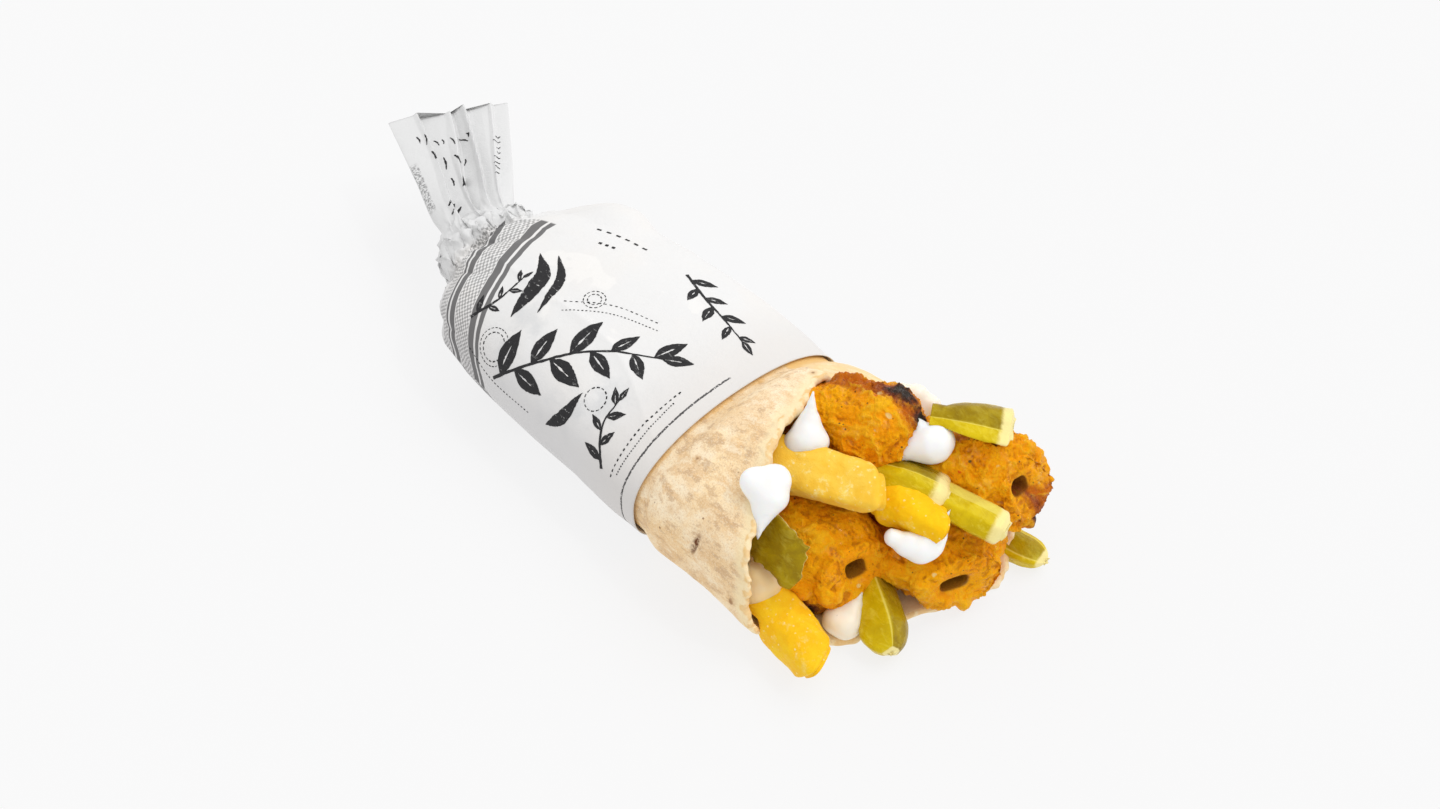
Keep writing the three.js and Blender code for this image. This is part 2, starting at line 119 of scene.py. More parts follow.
sky = bpy.data.worlds.new("studio")
sky.use_nodes = True
for socket, value in SKY_LOOK.items():
    sky.node_tree.nodes["Background"].inputs[socket].default_value = value
bpy.context.scene.world = sky
bpy.context.scene.view_settings.view_transform = "Standard"

reach = TABLE_SIZE / 2
table_corners = [(-reach, -reach), (reach, -reach), (reach, reach), (-reach, reach)]
table_mesh = bpy.data.meshes.new("table")
table_mesh.from_pydata([(x, y, -TABLE_DROP * MM) for x, y in table_corners], [], [(0, 1, 2, 3)])
table = bpy.data.objects.new("table", table_mesh)
bpy.context.scene.collection.objects.link(table)
table_white = bpy.data.materials.new("table white")
table_white.use_nodes = True
for socket, value in TABLE_LOOK.items():
    table_white.node_tree.nodes["Principled BSDF"].inputs[socket].default_value = value
table_mesh.materials.append(table_white)


# ---- paper sleeve ----
# One sheet of thin greaseproof paper rolled round the bread, its lapped edge standing a little off high
# on the far side. Behind the bread it is gathered, twisted to a neck and left as a folded fan. It is
# printed in one black ink: stripes and a woven band round the rear, and brush-drawn sprigs over the rest.
PAPER_WALL = 0.8
REAR_X = -104
# [x, half-width on the -Y side, half-width on the +Y side, top, underside, sideways shift]
OUTLINE = np.array(
    [
        [REAR_X, 13, 12.5, 33.5, 18, -4.5], [-100, 21.5, 18, 36, 9, -4], [-96, 28, 24, 38, 3.5, -3],
        [-90, 33, 30, 40, 0.6, -1.5], [-80, 36.5, 34.5, 41.5, 0, 0], [-60, 38.5, 37.5, 42.5, 0, 0],
        [-30, 39, 39.5, 42, 0, 0], [-14, 39.3, 39, 41, 0, 0], [0, NEAR_HALF_WIDTH, 38, 40, 0, 0],
        [16, NEAR_HALF_WIDTH, 38, 45, 0, 0], [30, NEAR_HALF_WIDTH, 39.5, 46.5, 0, 0],
        [45, NEAR_HALF_WIDTH, 41.5, 45.5, 0, 0], [60, 38.5, 43, 42, 0, 0], [75, 38, 43, 40, 0, 0],
    ]
)
TOP_POWER = 2.15  # how squared a section's upper half is: 2 is an ellipse
BASE_POWER = 2.7  # its lower half is squarer, as the wrap sags onto the table
BASE_SINK = 1.4  # how far the outline runs below the table, on which it is pressed flat

TAIL_PATH = [(-105, -4.4, 26), (-109.5, -3.9, 28), (-120, 0, 29), (-133, 7.2, 30), (-158.5, 20.8, 31)]
# Along the tail: [share of its length, half-width, half-thickness, height of its folds].
TAIL = np.array(
    [
        [0, 12.4, 8.2, 0.2], [0.07, 13, 8, 0.6], [0.14, 11.8, 5.8, 1.6], [0.26, 13, 4, 2.6],
        [0.5, 15, 2.6, 2.8], [1, 19.2, 1.5, 2.2],
    ]
)
# The tail's folds: [place across it from its far edge at 1 to its near edge at -1, height].
FOLDS = np.array(
    [
        [-1, -0.1], [-0.6, 0.35], [-0.5, 0.8], [-0.46, -0.55], [-0.12, -0.35], [-0.02, 0.1],
        [0.02, -0.75], [0.2, 0.15], [0.3, 1.0], [0.36, -0.5], [0.62, 0.1], [0.68, 0.5], [0.74, -0.1],
        [1, 0.2],
    ]
)
TWIST_X = -101.5  # the body ends here and the neck begins
NECK = 6.0  # the neck's length to the tail's first ring
TAIL_START = 0.07  # the share of the tail's path at that ring
GATHERED_X = -88  # from the twist to here the paper rises off the table and needs close rings
GATHER_HEIGHT = 2.6
BROAD_FOLDS = 9  # how many gathers go round, and how many fine ones lie over them
FINE_FOLDS = 26
TWIST_LEAN = 0.028  # how far the gathers lean round the roll, in radians for each mm along it
LEAN_X = -80  # where they don't lean
CRUMPLE_HEIGHT = 0.6  # of the tail's crumples
# The lapped edge's raised place: where it lies in mm and degrees, how far it reaches each way, its height.
LAP_X = -80
LAP_ANGLE = 46
LAP_LENGTH = 16
LAP_SPREAD = 24
LAP_RISE = 3.6


def smooth(x, low, high):
    """0 below low and 1 above high; between them 3k^2 - 2k^3 of the share k of the way."""
    k = np.clip((x - low) / (high - low), 0, 1)
    return k * k * (3 - 2 * k)


def column(rows, x, c):
    """Column c of a table at x: a cubic from row to row, whose slopes join each row's neighbours."""
    at, values = rows[:, 0], rows[:, c]
    last = len(at) - 1
    below, above = np.maximum(np.arange(last + 1) - 1, 0), np.minimum(np.arange(last + 1) + 1, last)
    slopes = (values[above] - values[below]) / (at[above] - at[below])
    x = np.clip(x, at[0], at[last])
    i = np.clip(np.searchsorted(at, x, side="right") - 1, 0, last - 1)
    span = at[i + 1] - at[i]
    u = (x - at[i]) / span
    rise = (1 + 2 * u) * (1 - u) ** 2 * values[i] + u * u * (3 - 2 * u) * values[i + 1]
    return rise + span * (u * (1 - u) ** 2 * slopes[i] + u * u * (u - 1) * slopes[i + 1])


def bell(x, middle, width):
    """1 at middle, falling off on both sides as e^(-k^2), where k is the distance in widths."""
    return np.exp(-(((x - middle) / width) ** 2))


def all_round(count):
    """A row of evenly spaced angles that go once round."""
    return np.linspace(0, 2 * np.pi, count, endpoint=False)[None, :]


def squared(angle, power):
    """A point at angle on a unit circle squared off by power: each of cos and sin to 2 / power."""
    return [np.sign(v) * np.abs(v) ** (2 / power) for v in (np.cos(angle), np.sin(angle))]


def roll_point(x, angle, inset, lift=None):
    """The roll's surface at x and angle: a squared oval, less inset, pressed flat on the table."""
    x, angle, inset = np.broadcast_arrays(x, angle, inset)
    lift = np.maximum(inset, 0) if lift is None else lift
    across, up = squared(angle, np.where(np.sin(angle) >= 0, TOP_POWER, BASE_POWER))
    near, far, top, under, shift = (column(OUTLINE, x, c) for c in range(1, 6))
    sink = BASE_SINK * smooth(x, REAR_X, GATHERED_X)
    half_width = np.where(across >= 0, far, near) - inset
    half_height = (top - under + sink) / 2 - inset
    z = (top + under - sink) / 2 + half_height * up
    return np.stack([x, shift + half_width * across, np.maximum(z, np.maximum(under, 0) + lift)], -1)


def along_path(path, share):
    """Points and unit directions at shares of a path's length, on a cubic through its points."""
    path = np.array(path, float)
    steps = np.linalg.norm(np.diff(path, axis=0), axis=1)
    rows = np.column_stack([np.append(0, np.cumsum(steps)) / steps.sum(), path])

    def at(k):
        return np.stack([column(rows, k, c) for c in (1, 2, 3)], -1)

    step = 1e-3
    inside = np.clip(share, step, 1 - step)
    forward = at(inside + step) - at(inside - step)
    forward /= np.linalg.norm(forward, axis=-1, keepdims=True)
    beyond = (share - np.clip(share, 0, 1))[..., None] * steps.sum()
    return at(np.clip(share, 0, 1)) + forward * beyond, forward


def frame_of(forward):
    """Across (level, to the left of forward) and up (square to both), as unit vectors."""
    across = np.cross([0, 0, 1], forward)
    across /= np.linalg.norm(across, axis=-1, keepdims=True)
    return across, np.cross(forward, across)


# Large odd numbers, whose products scatter a cell's address over the numbers of 32 bits.
SCATTER = (374761393, 668265263, 1440662683, 1274126177)
LAST_BITS = 2**32 - 1


def lattice(cell, seed):
    """A repeatable number from 0 to 1 for each whole cell, from products that overflow and mix."""
    x, y, z = (cell[..., k].astype(np.int64) for k in range(3))
    mixed_up = (x * SCATTER[0] + y * SCATTER[1] + z * SCATTER[2] + seed * SCATTER[3]) & LAST_BITS
    mixed_up = ((mixed_up ^ (mixed_up >> 13)) * SCATTER[3]) & LAST_BITS
    return (mixed_up ^ (mixed_up >> 16)) / (LAST_BITS + 1)


def noise(points, size, seed, octaves=1):
    """Smooth noise from -1 to 1: each cell's corners hold random numbers, blended by distance.

    size is a cell's width in mm, and each further octave adds noise half as large and half as strong.
    """
    total, weight = 0, 1.0
    for octave in range(octaves):
        spot = points / size
        cell = np.floor(spot)
        part = spot - cell
        part = part * part * (3 - 2 * part)
        for corner in np.ndindex(2, 2, 2):
            share = np.prod(np.where(corner, part, 1 - part), axis=-1)
            total = total + weight * share * (2 * lattice(cell + corner, seed + octave) - 1)
        size, weight = size / 2, weight / 2
    return total


def ridges(points, size, seed, octaves=1):
    """Sharp-crested noise from 0 to 1: 1 where plain noise passes through zero."""
    return 1 - np.minimum(np.abs(noise(points, size, seed, octaves)) * 2.2, 1)


def directions(grid):
    """The unit direction square to a grid of rings: the cross of its slopes along and around."""
    along = np.gradient(grid, axis=0)
    around = np.roll(grid, -1, axis=1) - np.roll(grid, 1, axis=1)
    square = np.cross(along, around)
    length = np.linalg.norm(square, axis=-1, keepdims=True)
    square /= np.maximum(length, 1e-9)
    flow = np.sum((grid - grid.reshape(-1, 3).mean(0)) * square * length)
    return square if flow > 0 else -square


def raised(grid, height):
    """A grid of rings with each point moved outwards by its height."""
    return grid + height[..., None] * directions(grid)


def shell(grid):
    """Points and faces over a grid of rings, each end closed to its middle, the faces pointing out."""
    rows, around = grid.shape[:2]
    points = np.concatenate([grid.reshape(-1, 3), [grid[0].mean(0), grid[-1].mean(0)]])
    row, turn = np.mgrid[0 : rows - 1, 0:around]
    here, across = row * around + turn, row * around + (turn + 1) % around
    quads = np.stack([here, across, across + around, here + around], -1).reshape(-1, 4)
    turn = np.arange(around)
    after = (turn + 1) % around
    end = (rows - 1) * around
    first_cap = np.stack([after, turn, np.full(around, rows * around)], -1)
    last_cap = np.stack([end + turn, end + after, np.full(around, rows * around + 1)], -1)
    a, b, c, d = (points[quads[:, k]] for k in range(4))
    if np.sum(np.cross(c - a, d - b) * (a - points.mean(0))) < 0:
        quads, first_cap, last_cap = quads[:, ::-1], first_cap[:, ::-1], last_cap[:, ::-1]
    return points, quads, np.concatenate([first_cap, last_cap])


def skin(name, grids, layers=None, along=None):
    """One mesh of closed shells over grids of rings; the values in layers become its attributes.

    along, the distance of each ring down a single grid, gives it a UV map of distance and turn.
    """
    points, faces, first = [], [], 0
    for grid in grids:
        shell_points, quads, caps = shell(grid)
        points.append(shell_points)
        faces += (quads + first).tolist() + (caps + first).tolist()
        first += len(shell_points)
    mesh = bpy.data.meshes.new(name)
    mesh.from_pydata(placed(np.concatenate(points)).tolist(), [], faces)
    for layer, values in (layers or {}).items():
        rings = [np.broadcast_to(value, grid.shape[:2]) for value, grid in zip(values, grids)]
        flat = [np.concatenate([ring.ravel(), [ring[0].mean(), ring[-1].mean()]]) for ring in rings]
        mesh.attributes.new(layer, "FLOAT", "POINT").data.foreach_set("value", np.concatenate(flat))
    if along is not None:
        around = grids[0].shape[1]
        corners = np.concatenate(faces)
        turns = (corners % around) / around
        first_corner = np.cumsum([0] + [len(face) for face in faces])
        widest = np.repeat(np.maximum.reduceat(turns, first_corner[:-1]), np.diff(first_corner))
        turns = np.where((turns < 0.25) & (widest > 0.75), turns + 1, turns)
        distance = np.append(np.repeat(along, around), [along[0], along[-1]])[corners]
        uv = mesh.uv_layers.new(name="wrapped")
        uv.data.foreach_set("uv", np.stack([distance, turns], -1).ravel())
    mesh.shade_smooth()
    mesh.validate()
    made = bpy.data.objects.new(name, mesh)
    bpy.context.scene.collection.objects.link(made)
    return made


class Wire:
    """A shader socket. Sums, products and comparisons of wires become Math nodes."""

    def __init__(self, tree, socket):
        self.tree = tree
        self.socket = socket

    def node(self, kind, settings, values, output=0):
        """Adds a node: its settings first (stops fill a colour ramp), then its sockets' values."""
        made = self.tree.nodes.new("ShaderNode" + kind)
        for name, value in settings.items():
            if name != "stops":
                setattr(made, name, value)
                continue
            ramp = made.color_ramp
            while len(ramp.elements) < len(value):
                ramp.elements.new(1)
            for element, (place, colour) in zip(ramp.elements, value):
                element.position = place
                element.color = (*colour, 1)
        for key, value in values.items():
            if isinstance(value, Wire):
                self.tree.links.new(value.socket, made.inputs[key])
            else:
                made.inputs[key].default_value = value
        return Wire(self.tree, made.outputs[output])

    def maths(self, operation, *terms):
        """One Math node on the terms, in their order."""
        return self.node("Math", {"operation": operation}, dict(enumerate(terms)))

    def __add__(self, other):
        return self.maths("ADD", self, other)

    __radd__ = __add__

    def __sub__(self, other):
        return self.maths("SUBTRACT", self, other)

    def __rsub__(self, other):
        return self.maths("SUBTRACT", other, self)

    def __mul__(self, other):
        return self.maths("MULTIPLY", self, other)

    __rmul__ = __mul__

    def __abs__(self):
        return self.maths("ABSOLUTE", self)

    def higher(self, other):
        """The higher of two wires."""
        return self.maths("MAXIMUM", self, other)

    def between(self, low, high):
        """0 below low and 1 above high, smoothly."""
        values = {"Value": self, "From Min": low, "From Max": high}
        return self.node("MapRange", {"interpolation_type": "SMOOTHSTEP"}, values)

    def below(self, low, high):
        """1 below low and 0 above high, smoothly."""
        return 1 - self.between(low, high)

    def band(self, middle, half, soft):
        """1 within half of middle, fading to 0 over soft."""
        return abs(self - middle).below(half, half + soft)

    def blend(self, under, over):
        """Colour under where this mask is 0 and over where it is 1."""
        colours = {6: (*under, 1) if isinstance(under, tuple) else under}
        colours[7] = (*over, 1) if isinstance(over, tuple) else over
        return self.node("Mix", {"data_type": "RGBA"}, {0: self, **colours}, 2)

    def coated(self, *coats):
        """This colour with coats laid over it in turn: each a mask, and the colour that it lays on."""
        tone = self
        for mask, colour in coats:
            tone = mask.blend(tone, colour)
        return tone

    def stretched(self, size, stretch):
        """This place counted in steps of size mm, drawn out along each axis by stretch."""
        scale = tuple(1 / (size * MM * k) for k in stretch)
        return self.node("Mapping", {}, {"Vector": self, "Scale": scale})

    def grain(self, size, detail=2.0, rough=0.5, warp=0.0, stretch=(1, 1, 1)):
        """Noise from 0 to 1 with features of size mm, where this wire is the place in metres."""
        place = self.stretched(size, stretch)
        values = {"Vector": place, "Scale": 1.0, "Detail": detail, "Roughness": rough, "Distortion": warp}
        return self.node("TexNoise", {}, values)

    def spots(self, size, stretch=(1, 1, 1)):
        """Distance from scattered points about size mm apart: 0 at each, about 0.5 between them."""
        place = self.stretched(size, stretch)
        return self.node("TexVoronoi", {}, {"Vector": place, "Scale": 1.0}, "Distance")

    def layer(self, name):
        """An attribute of the mesh."""
        return self.node("Attribute", {"attribute_name": name}, {}, "Fac")


def finish(name):
    """A new material: the material itself, and a wire that carries places in metres."""
    material = bpy.data.materials.new(name)
    material.use_nodes = True
    start = Wire(material.node_tree, None)
    return material, start.node("TexCoord", {}, {}, "Object")


def coat(material, wires, bump=None, depth=0.0, **plain):
    """Fills the material's shader: wires by socket name, plain numbers, and a bump of depth mm."""
    tree = material.node_tree
    shader = tree.nodes["Principled BSDF"]
    for key, value in plain.items():
        shader.inputs[key.replace("_", " ")].default_value = value
    for key, wire in wires.items():
        tree.links.new(wire.socket, shader.inputs[key])
    if bump is not None:
        height = bump.node("Bump", {}, {"Height": bump, "Distance": depth * MM, "Strength": 1.0})
        tree.links.new(height.socket, shader.inputs["Normal"])


def gathers(s, angle):
    """Folds from 0 to 1 that run to the neck: 1 - |sin| of half their number times the leaning turn.

    Noise read on a ring, drawn out along the roll, makes them waver.
    """
    leaning = angle + TWIST_LEAN * (s - LEAN_X)
    ring = np.stack([np.cos(angle) * 9, np.sin(angle) * 9, s * 0.12], -1)
    waver = 1.3 * noise(ring, 5.0, 3) + 0.5 * noise(ring, 2.2, 4)
    broad = 1 - np.abs(np.sin(BROAD_FOLDS / 2 * leaning + waver)) ** 0.7
    fine = 1 - np.abs(np.sin(FINE_FOLDS / 2 * leaning + 2 * waver))
    return 0.75 * broad + 0.25 * fine * (1 - smooth(s, -100, -90))


def body_point(s, angle):
    """The sleeve from its twist to its mouth: the roll, gathered behind, lapped and softly creased."""
    s, angle = np.broadcast_arrays(np.asarray(s, float), angle)
    gathered = GATHER_HEIGHT * (1 - smooth(s, -98, -77)) * (gathers(s, angle) - 0.2)
    from_lap = np.hypot((s - LAP_X) / LAP_LENGTH, (np.degrees(angle) - LAP_ANGLE) / LAP_SPREAD)
    lap = LAP_RISE * (1 - smooth(from_lap, 0.15, 1))
    flat = roll_point(s, angle, 0.0)
    creased = 0.4 * noise(flat * (1, 1.4, 1.4), 22, 5, 2) + 0.5 * ridges(flat * (0.7, 1, 1), 30, 8) ** 6
    eased = smooth(-s, 0, 12)
    return roll_point(s, angle, np.maximum(gathered - lap - creased * eased, -LAP_RISE))


def tail_point(share, angle):
    """The tail: a flat oval across its path, both its faces folded alike and softly crumpled."""
    share, angle = np.broadcast_arrays(np.asarray(share, float), angle)
    half_width, half_thick, fold = (column(TAIL, share, c) for c in (1, 2, 3))
    middle, forward = along_path(TAIL_PATH, share)
    side, up = frame_of(forward)
    across = np.cos(angle)
    waver = 0.05 * np.sin(5 * share + 9 * across) * (1 - across**2)
    folded = np.interp(across + waver, FOLDS[:, 0], FOLDS[:, 1])
    lift = half_thick * np.sin(angle) * (1 - 0.5 * smooth(share, 0.2, 0.6)) + fold * folded
    flat = middle - (across * half_width)[..., None] * side + lift[..., None] * up
    crumple = CRUMPLE_HEIGHT * noise(flat, 5.5, 21, 3) * (1 - 0.8 * smooth(share, 0.1, 0.4))
    return flat + crumple[..., None] * up


tail_length = np.linalg.norm(np.diff(np.array(TAIL_PATH, float), axis=0), axis=1).sum()


def sleeve_point(s, angle):
    """The whole sleeve by its distance s from the mouth: body, then a neck that blends into the tail."""
    share = TAIL_START + (TWIST_X - NECK - s) / tail_length
    body = body_point(np.maximum(s, TWIST_X), angle)
    tail = tail_point(np.clip(share, TAIL_START, 1), angle)
    k = smooth(s, TWIST_X - NECK, TWIST_X)[..., None]
    return k * body + (1 - k) * tail


SLEEVE_END = TWIST_X - NECK - tail_length * (1 - TAIL_START)
PAPER_AROUND = 400
paper_s = np.concatenate(
    [
        np.linspace(SLEEVE_END, TWIST_X - NECK, 60)[:-1],
        np.linspace(TWIST_X - NECK, GATHERED_X, 60)[:-1],
        np.linspace(GATHERED_X, 0, 96),
    ]
)
turn_angles = all_round(PAPER_AROUND)
outer = sleeve_point(paper_s[:, None], turn_angles)
# Round the neck the paper is crushed, and it stands up in a ring just behind the twist.
from_twist = paper_s[:, None] - TWIST_X
crinkles = ridges(outer * (0.4, 1, 1), 3.6, 37, 3) ** 1.5 - 0.4
crush = 0.7 * noise(outer, 4.2, 31, 2) + 1.6 * crinkles
collar = 2.8 * bell(from_twist, -4.5, 3.2) - 1.6 * bell(from_twist, 1, 1.6)
height = bell(from_twist, -0.6 * NECK, 6.5) * crush + collar * (0.8 + 0.5 * noise(outer, 8, 33))
outer = raised(outer, height)
outer[..., 2] = np.maximum(outer[..., 2], 0)
# The inner face: how deep it lies under the roll's surface at each distance from the mouth.
inner_s = np.array([0, -1.5, -4, -14, -30, -46, -62, -78, -85, -88.5, -91.0])
inner_depth = np.array([0.22, 0.35] + [PAPER_WALL] * 7 + [4, 11])
inner = roll_point(inner_s[:, None], turn_angles, inner_depth[:, None])
sleeve = skin("paper", [np.concatenate([outer, inner])], along=np.concatenate([paper_s, inner_s]))

# The print round the rear: the stripes at [place, half-width] in mm, and between them the woven bands at
# [place, half-width, softness, where the weave starts]. Both slant forward down the near side.
STRIPES = [[-86.2, 0.75], [-89.3, 1.25], [-99.5, 1.1], [-102.2, 0.5]]
WOVEN = [[-94.4, 3.4, 0.2, 0.3], [-106, 2.6, 0.3, 0.4]]
SLANT_FROM = 0.24  # the share of a turn from which they slant, and the mm that a whole turn would give
SLANT = 67

paper, where = finish("greaseproof paper")
spot = where.node("UVMap", {"uv_map": "wrapped"}, {})
down = where.node("SeparateXYZ", {}, {"Vector": spot}, "X")
turned = where.node("SeparateXYZ", {}, {"Vector": spot}, "Y")
fibre = where.grain(0.35, 3, 0.6)
crumpled = where.grain(3.2, 3, 0.6)
# Grease makes the paper glassy in spots near the top, and a grey wash lies behind the drawings. Painted
# shade greys the sleeve's near side, the neck and tail, and the panels between the tail's folds.
greased = where.grain(14, 3, 0.5, 0.3, (1, 1, 1)).between(0.56, 0.6) * turned.band(0.27, 0.06, 0.04)
wash = where.grain(15, 4, 0.6).between(0.48, 0.64) * down.band(-46, 27, 12) * turned.band(0.44, 0.09, 0.05)
doubled = turned.band(0.289, 0.034, 0.003).higher(turned.band(0.226, 0.018, 0.003) * 0.6)
doubled = doubled.higher(turned.band(0.172, 0.012, 0.003) * 0.8) * down.below(-112, -108)
tone = where.grain(26, 3, 0.55).between(0.4, 0.7).blend((0.77, 0.765, 0.76), (0.785, 0.765, 0.745))
tone = tone.coated(
    (greased * 0.7 * down.band(-52, 26, 6), (0.83, 0.815, 0.795)),
    (wash * (0.35 + 0.45 * fibre), (0.60, 0.61, 0.62)),
    # painted shade: the paper greyed on the near side and round the underside
    (turned.between(0.37, 0.5) * 0.85, (0.64, 0.63, 0.63)),
    (down.between(-30, -3) * 0.45, (0.66, 0.62, 0.585)),
    # painted shade: the neck and tail greyer than the body
    (down.below(-104, -101), (0.705, 0.705, 0.705)),
    # painted shade on the tail's panels between its folds
    (doubled * 0.8, (0.66, 0.66, 0.66)),
)
line = down - SLANT * (turned - SLANT_FROM).higher(0.0) + (where.grain(5, 2) - 0.5) * 0.9
stripes = line.band(*STRIPES[0], 0.2)
for middle, half in STRIPES[1:]:
    stripes = stripes.higher(line.band(middle, half, 0.2))
weave = down.maths("SINE", down * 4.6) * turned.maths("SINE", turned * 620)
weave = weave + 1.5 * where.grain(1.0, 2)
woven, woven_behind = (
    line.band(middle, half, soft) * weave.between(start, 1.1) for middle, half, soft, start in WOVEN
)
round_rear = turned.between(0.222, 0.226) * turned.below(0.7, 0.72) * down.between(-103.5, -102.5)
rear_print = (stripes * 0.84).higher(woven.higher(woven_behind) * 0.55) * round_rear
front_line = (down + (where.grain(0.6, 1) - 0.5) * 0.5).band(-5.0, 0.22, 0.14)
front_line = front_line * turned.band(0.435, 0.185, 0.004) * where.grain(0.5, 1).between(0.3, 0.42)
tail_patch = down.band(-130, 9, 3) * turned.band(0.445, 0.03, 0.012)
tail_patch = tail_patch * where.grain(0.7, 3).between(0.42, 0.6)
inked = rear_print.higher(front_line * 0.95).higher(tail_patch * 0.6)
coat(
    paper,
    {
        "Base Color": inked.blend(tone, (0.045, 0.043, 0.045)),
        "Roughness": 0.55 - 0.2 * greased,
    },
    bump=fibre * 0.25 + crumpled * 0.9,
    depth=0.22,
    Specular_IOR_Level=0.2,
)
sleeve.data.materials.append(paper)
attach(sleeve, "root")
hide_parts("paper_sleeve")

# The drawings lie flat on the paper, in mm: [distance from the mouth, distance down from the top line],
# where the second is more than 0 on the near side. A stroke is a lens in section, of ink this thick.
INK_LOW = 0.02
INK_HIGH = 0.12
ARC_AT = -45  # the distance from the mouth at which round-the-roll distances are measured
LINE_RINGS = (5, 6)  # the rows and the points round of the thinnest strokes
# Sprigs: [points of the stem, number of leaves, leaf length and width, size of the last leaf to the first].
SPRIGS = [
    [[(-62, 46), (-50, 33), (-38, 20), (-22, 9)], 9, 15, 6.4, 0.6],
    [[(-14, 44), (-20, 34), (-21, 26)], 5, 7.5, 3.0, 0.6],
    [[(-44, -20), (-30, -15.5), (-13, -12.5)], 7, 8, 3.4, 0.7],
    [[(-79, 36), (-75, 27), (-74, 17)], 5, 6, 2.2, 0.6],
]
# Broad brush sweeps: [points, half-widths along it, dryness].
SWEEPS = [
    [[(-78, 7), (-70, 13), (-67, 28)], (0.1, 1.0, 1.9, 2.5, 2.7, 2.5, 2.0, 1.2, 0.1), 0.9],
    [[(-73, 4), (-65, 10), (-61, 22)], (0.1, 0.6, 1.1, 1.4, 1.5, 1.4, 1.1, 0.6, 0.1), 1.0],
    [[(-38, 46), (-33, 40), (-31.5, 31)], (0.1, 0.9, 1.6, 1.9, 2.0, 1.7, 1.2, 0.7, 0.1), 0.8],
]
# Dotted rings: [middle, radius, number of dashes, half-width].
RINGS = [
    [(-66, 38), 4.2, 16, 0.16],
    [(-66, 38), 5.6, 26, 0.13],
    [(-27, 30), 3.4, 14, 0.16],
    [(-52, 8), 3.2, 14, 0.14],
    [(-52, 8), 2.0, 9, 0.14],
]
# Dashed lines: [points, number of dashes, half-width].
DASHED = [
    [[(-8.5, 42), (-8.3, 30), (-8.8, 16)], 30, 0.16],
    [[(-10.2, 44), (-10.4, 30), (-10, 12)], 19, 0.2],
    [[(-56, 17), (-44, 8), (-30, 3)], 26, 0.14],
    [[(-58, 14.5), (-46, 5.5), (-32, 1)], 18, 0.14],
    [[(-75, 44), (-60, 47.5), (-45, 47)], 22, 0.15],
    [[(-76, -14), (-68, -17), (-58, -19)], 6, 0.4],
    [[(-70, -9), (-64, -11.5)], 3, 0.5],
]
# On the tail: rows of short marks, each [points of the row, number, length, half-width].
TAIL_MARKS = [
    [[(-153, 13), (-151, 2), (-151, -5)], 7, 4.2, 0.24],
    [[(-144, 10), (-142, 1), (-140, -3)], 4, 5.2, 0.3],
    [[(-133, 6), (-131, -1)], 2, 5.0, 0.34],
    [[(-149, -14), (-138, -12), (-129, -10)], 8, 2.0, 0.2],
    [[(-121, 6), (-116, 3)], 2, 4.6, 0.5],
]

arc_turns = np.linspace(0, np.pi * 1.2, 400)
arc_points = roll_point(ARC_AT, arc_turns, 0.0)
arc_run = np.append(0, np.cumsum(np.linalg.norm(np.diff(arc_points, axis=0), axis=1)))
arc_run -= np.interp(np.pi / 2, arc_turns, arc_run)


def turn_at(s, below):
    """The turn round the sleeve of a place below mm from its top line: by arc, or across the tail."""
    share = np.clip(TAIL_START + (TWIST_X - NECK - s) / tail_length, 0, 1)
    on_tail = np.arccos(np.clip(-below / column(TAIL, share, 1), -1, 1))
    return np.where(s > TWIST_X, np.interp(below, arc_run, arc_turns), on_tail)


def printed(s, below, lift):
    """Places on the paper, lift mm above it along the cross of its slopes along and around."""
    step, turn = 0.3, turn_at(s, below)
    along = sleeve_point(s + step, turn) - sleeve_point(s - step, turn)
    around = sleeve_point(s, turn + step / 20) - sleeve_point(s, turn - step / 20)
    out = np.cross(around, along)
    out /= np.linalg.norm(out, axis=-1, keepdims=True)
    return sleeve_point(s, turn) + out * lift[..., None]


def flat_path(points, share):
    """Places and directions at shares of a flat path of (distance, below) points."""
    middle, forward = along_path([(*point, 0) for point in points], share)
    return middle[..., :2], forward[..., :2]


def stroke(points, widths, rows=22, around=12):
    """A brush stroke: a thin lens whose half-width runs through widths, with a slightly ragged edge."""
    share = np.linspace(0, 1, rows)
    middle, forward = flat_path(points, share)
    half = np.interp(share, np.linspace(0, 1, len(widths)), widths)[:, None]
    turn = all_round(around)
    reach = half * np.cos(turn)
    s = middle[:, :1] - forward[:, 1:] * reach
    below = middle[:, 1:] + forward[:, :1] * reach
    ragged = noise(np.stack([s, below, 0 * s], -1), 0.7, 61, 2) * np.minimum(0.12, half * 0.5)
    reach = np.cos(turn) * ragged
    s, below = s - forward[:, 1:] * reach, below + forward[:, :1] * reach
    lift = (INK_HIGH + INK_LOW) / 2 + (INK_HIGH - INK_LOW) / 2 * np.sin(turn) + 0 * half
    return printed(s, below, lift)


def leaf(base, heading, long, wide):
    """A leaf as two brush-drawn halves: crescents from base to tip, bowed apart round its midrib."""
    base, ahead = np.array(base), np.array([math.cos(heading), math.sin(heading)])
    aside = np.array([-ahead[1], ahead[0]])
    halves = []
    for hand in (-1, 1):
        bow = aside * hand * wide * 0.27
        points = [base, base + ahead * long * 0.4 + bow, base + ahead * long]
        halves.append(stroke(points, (0.12, wide * 0.19, wide * 0.235, wide * 0.16, 0.06)))
    return halves


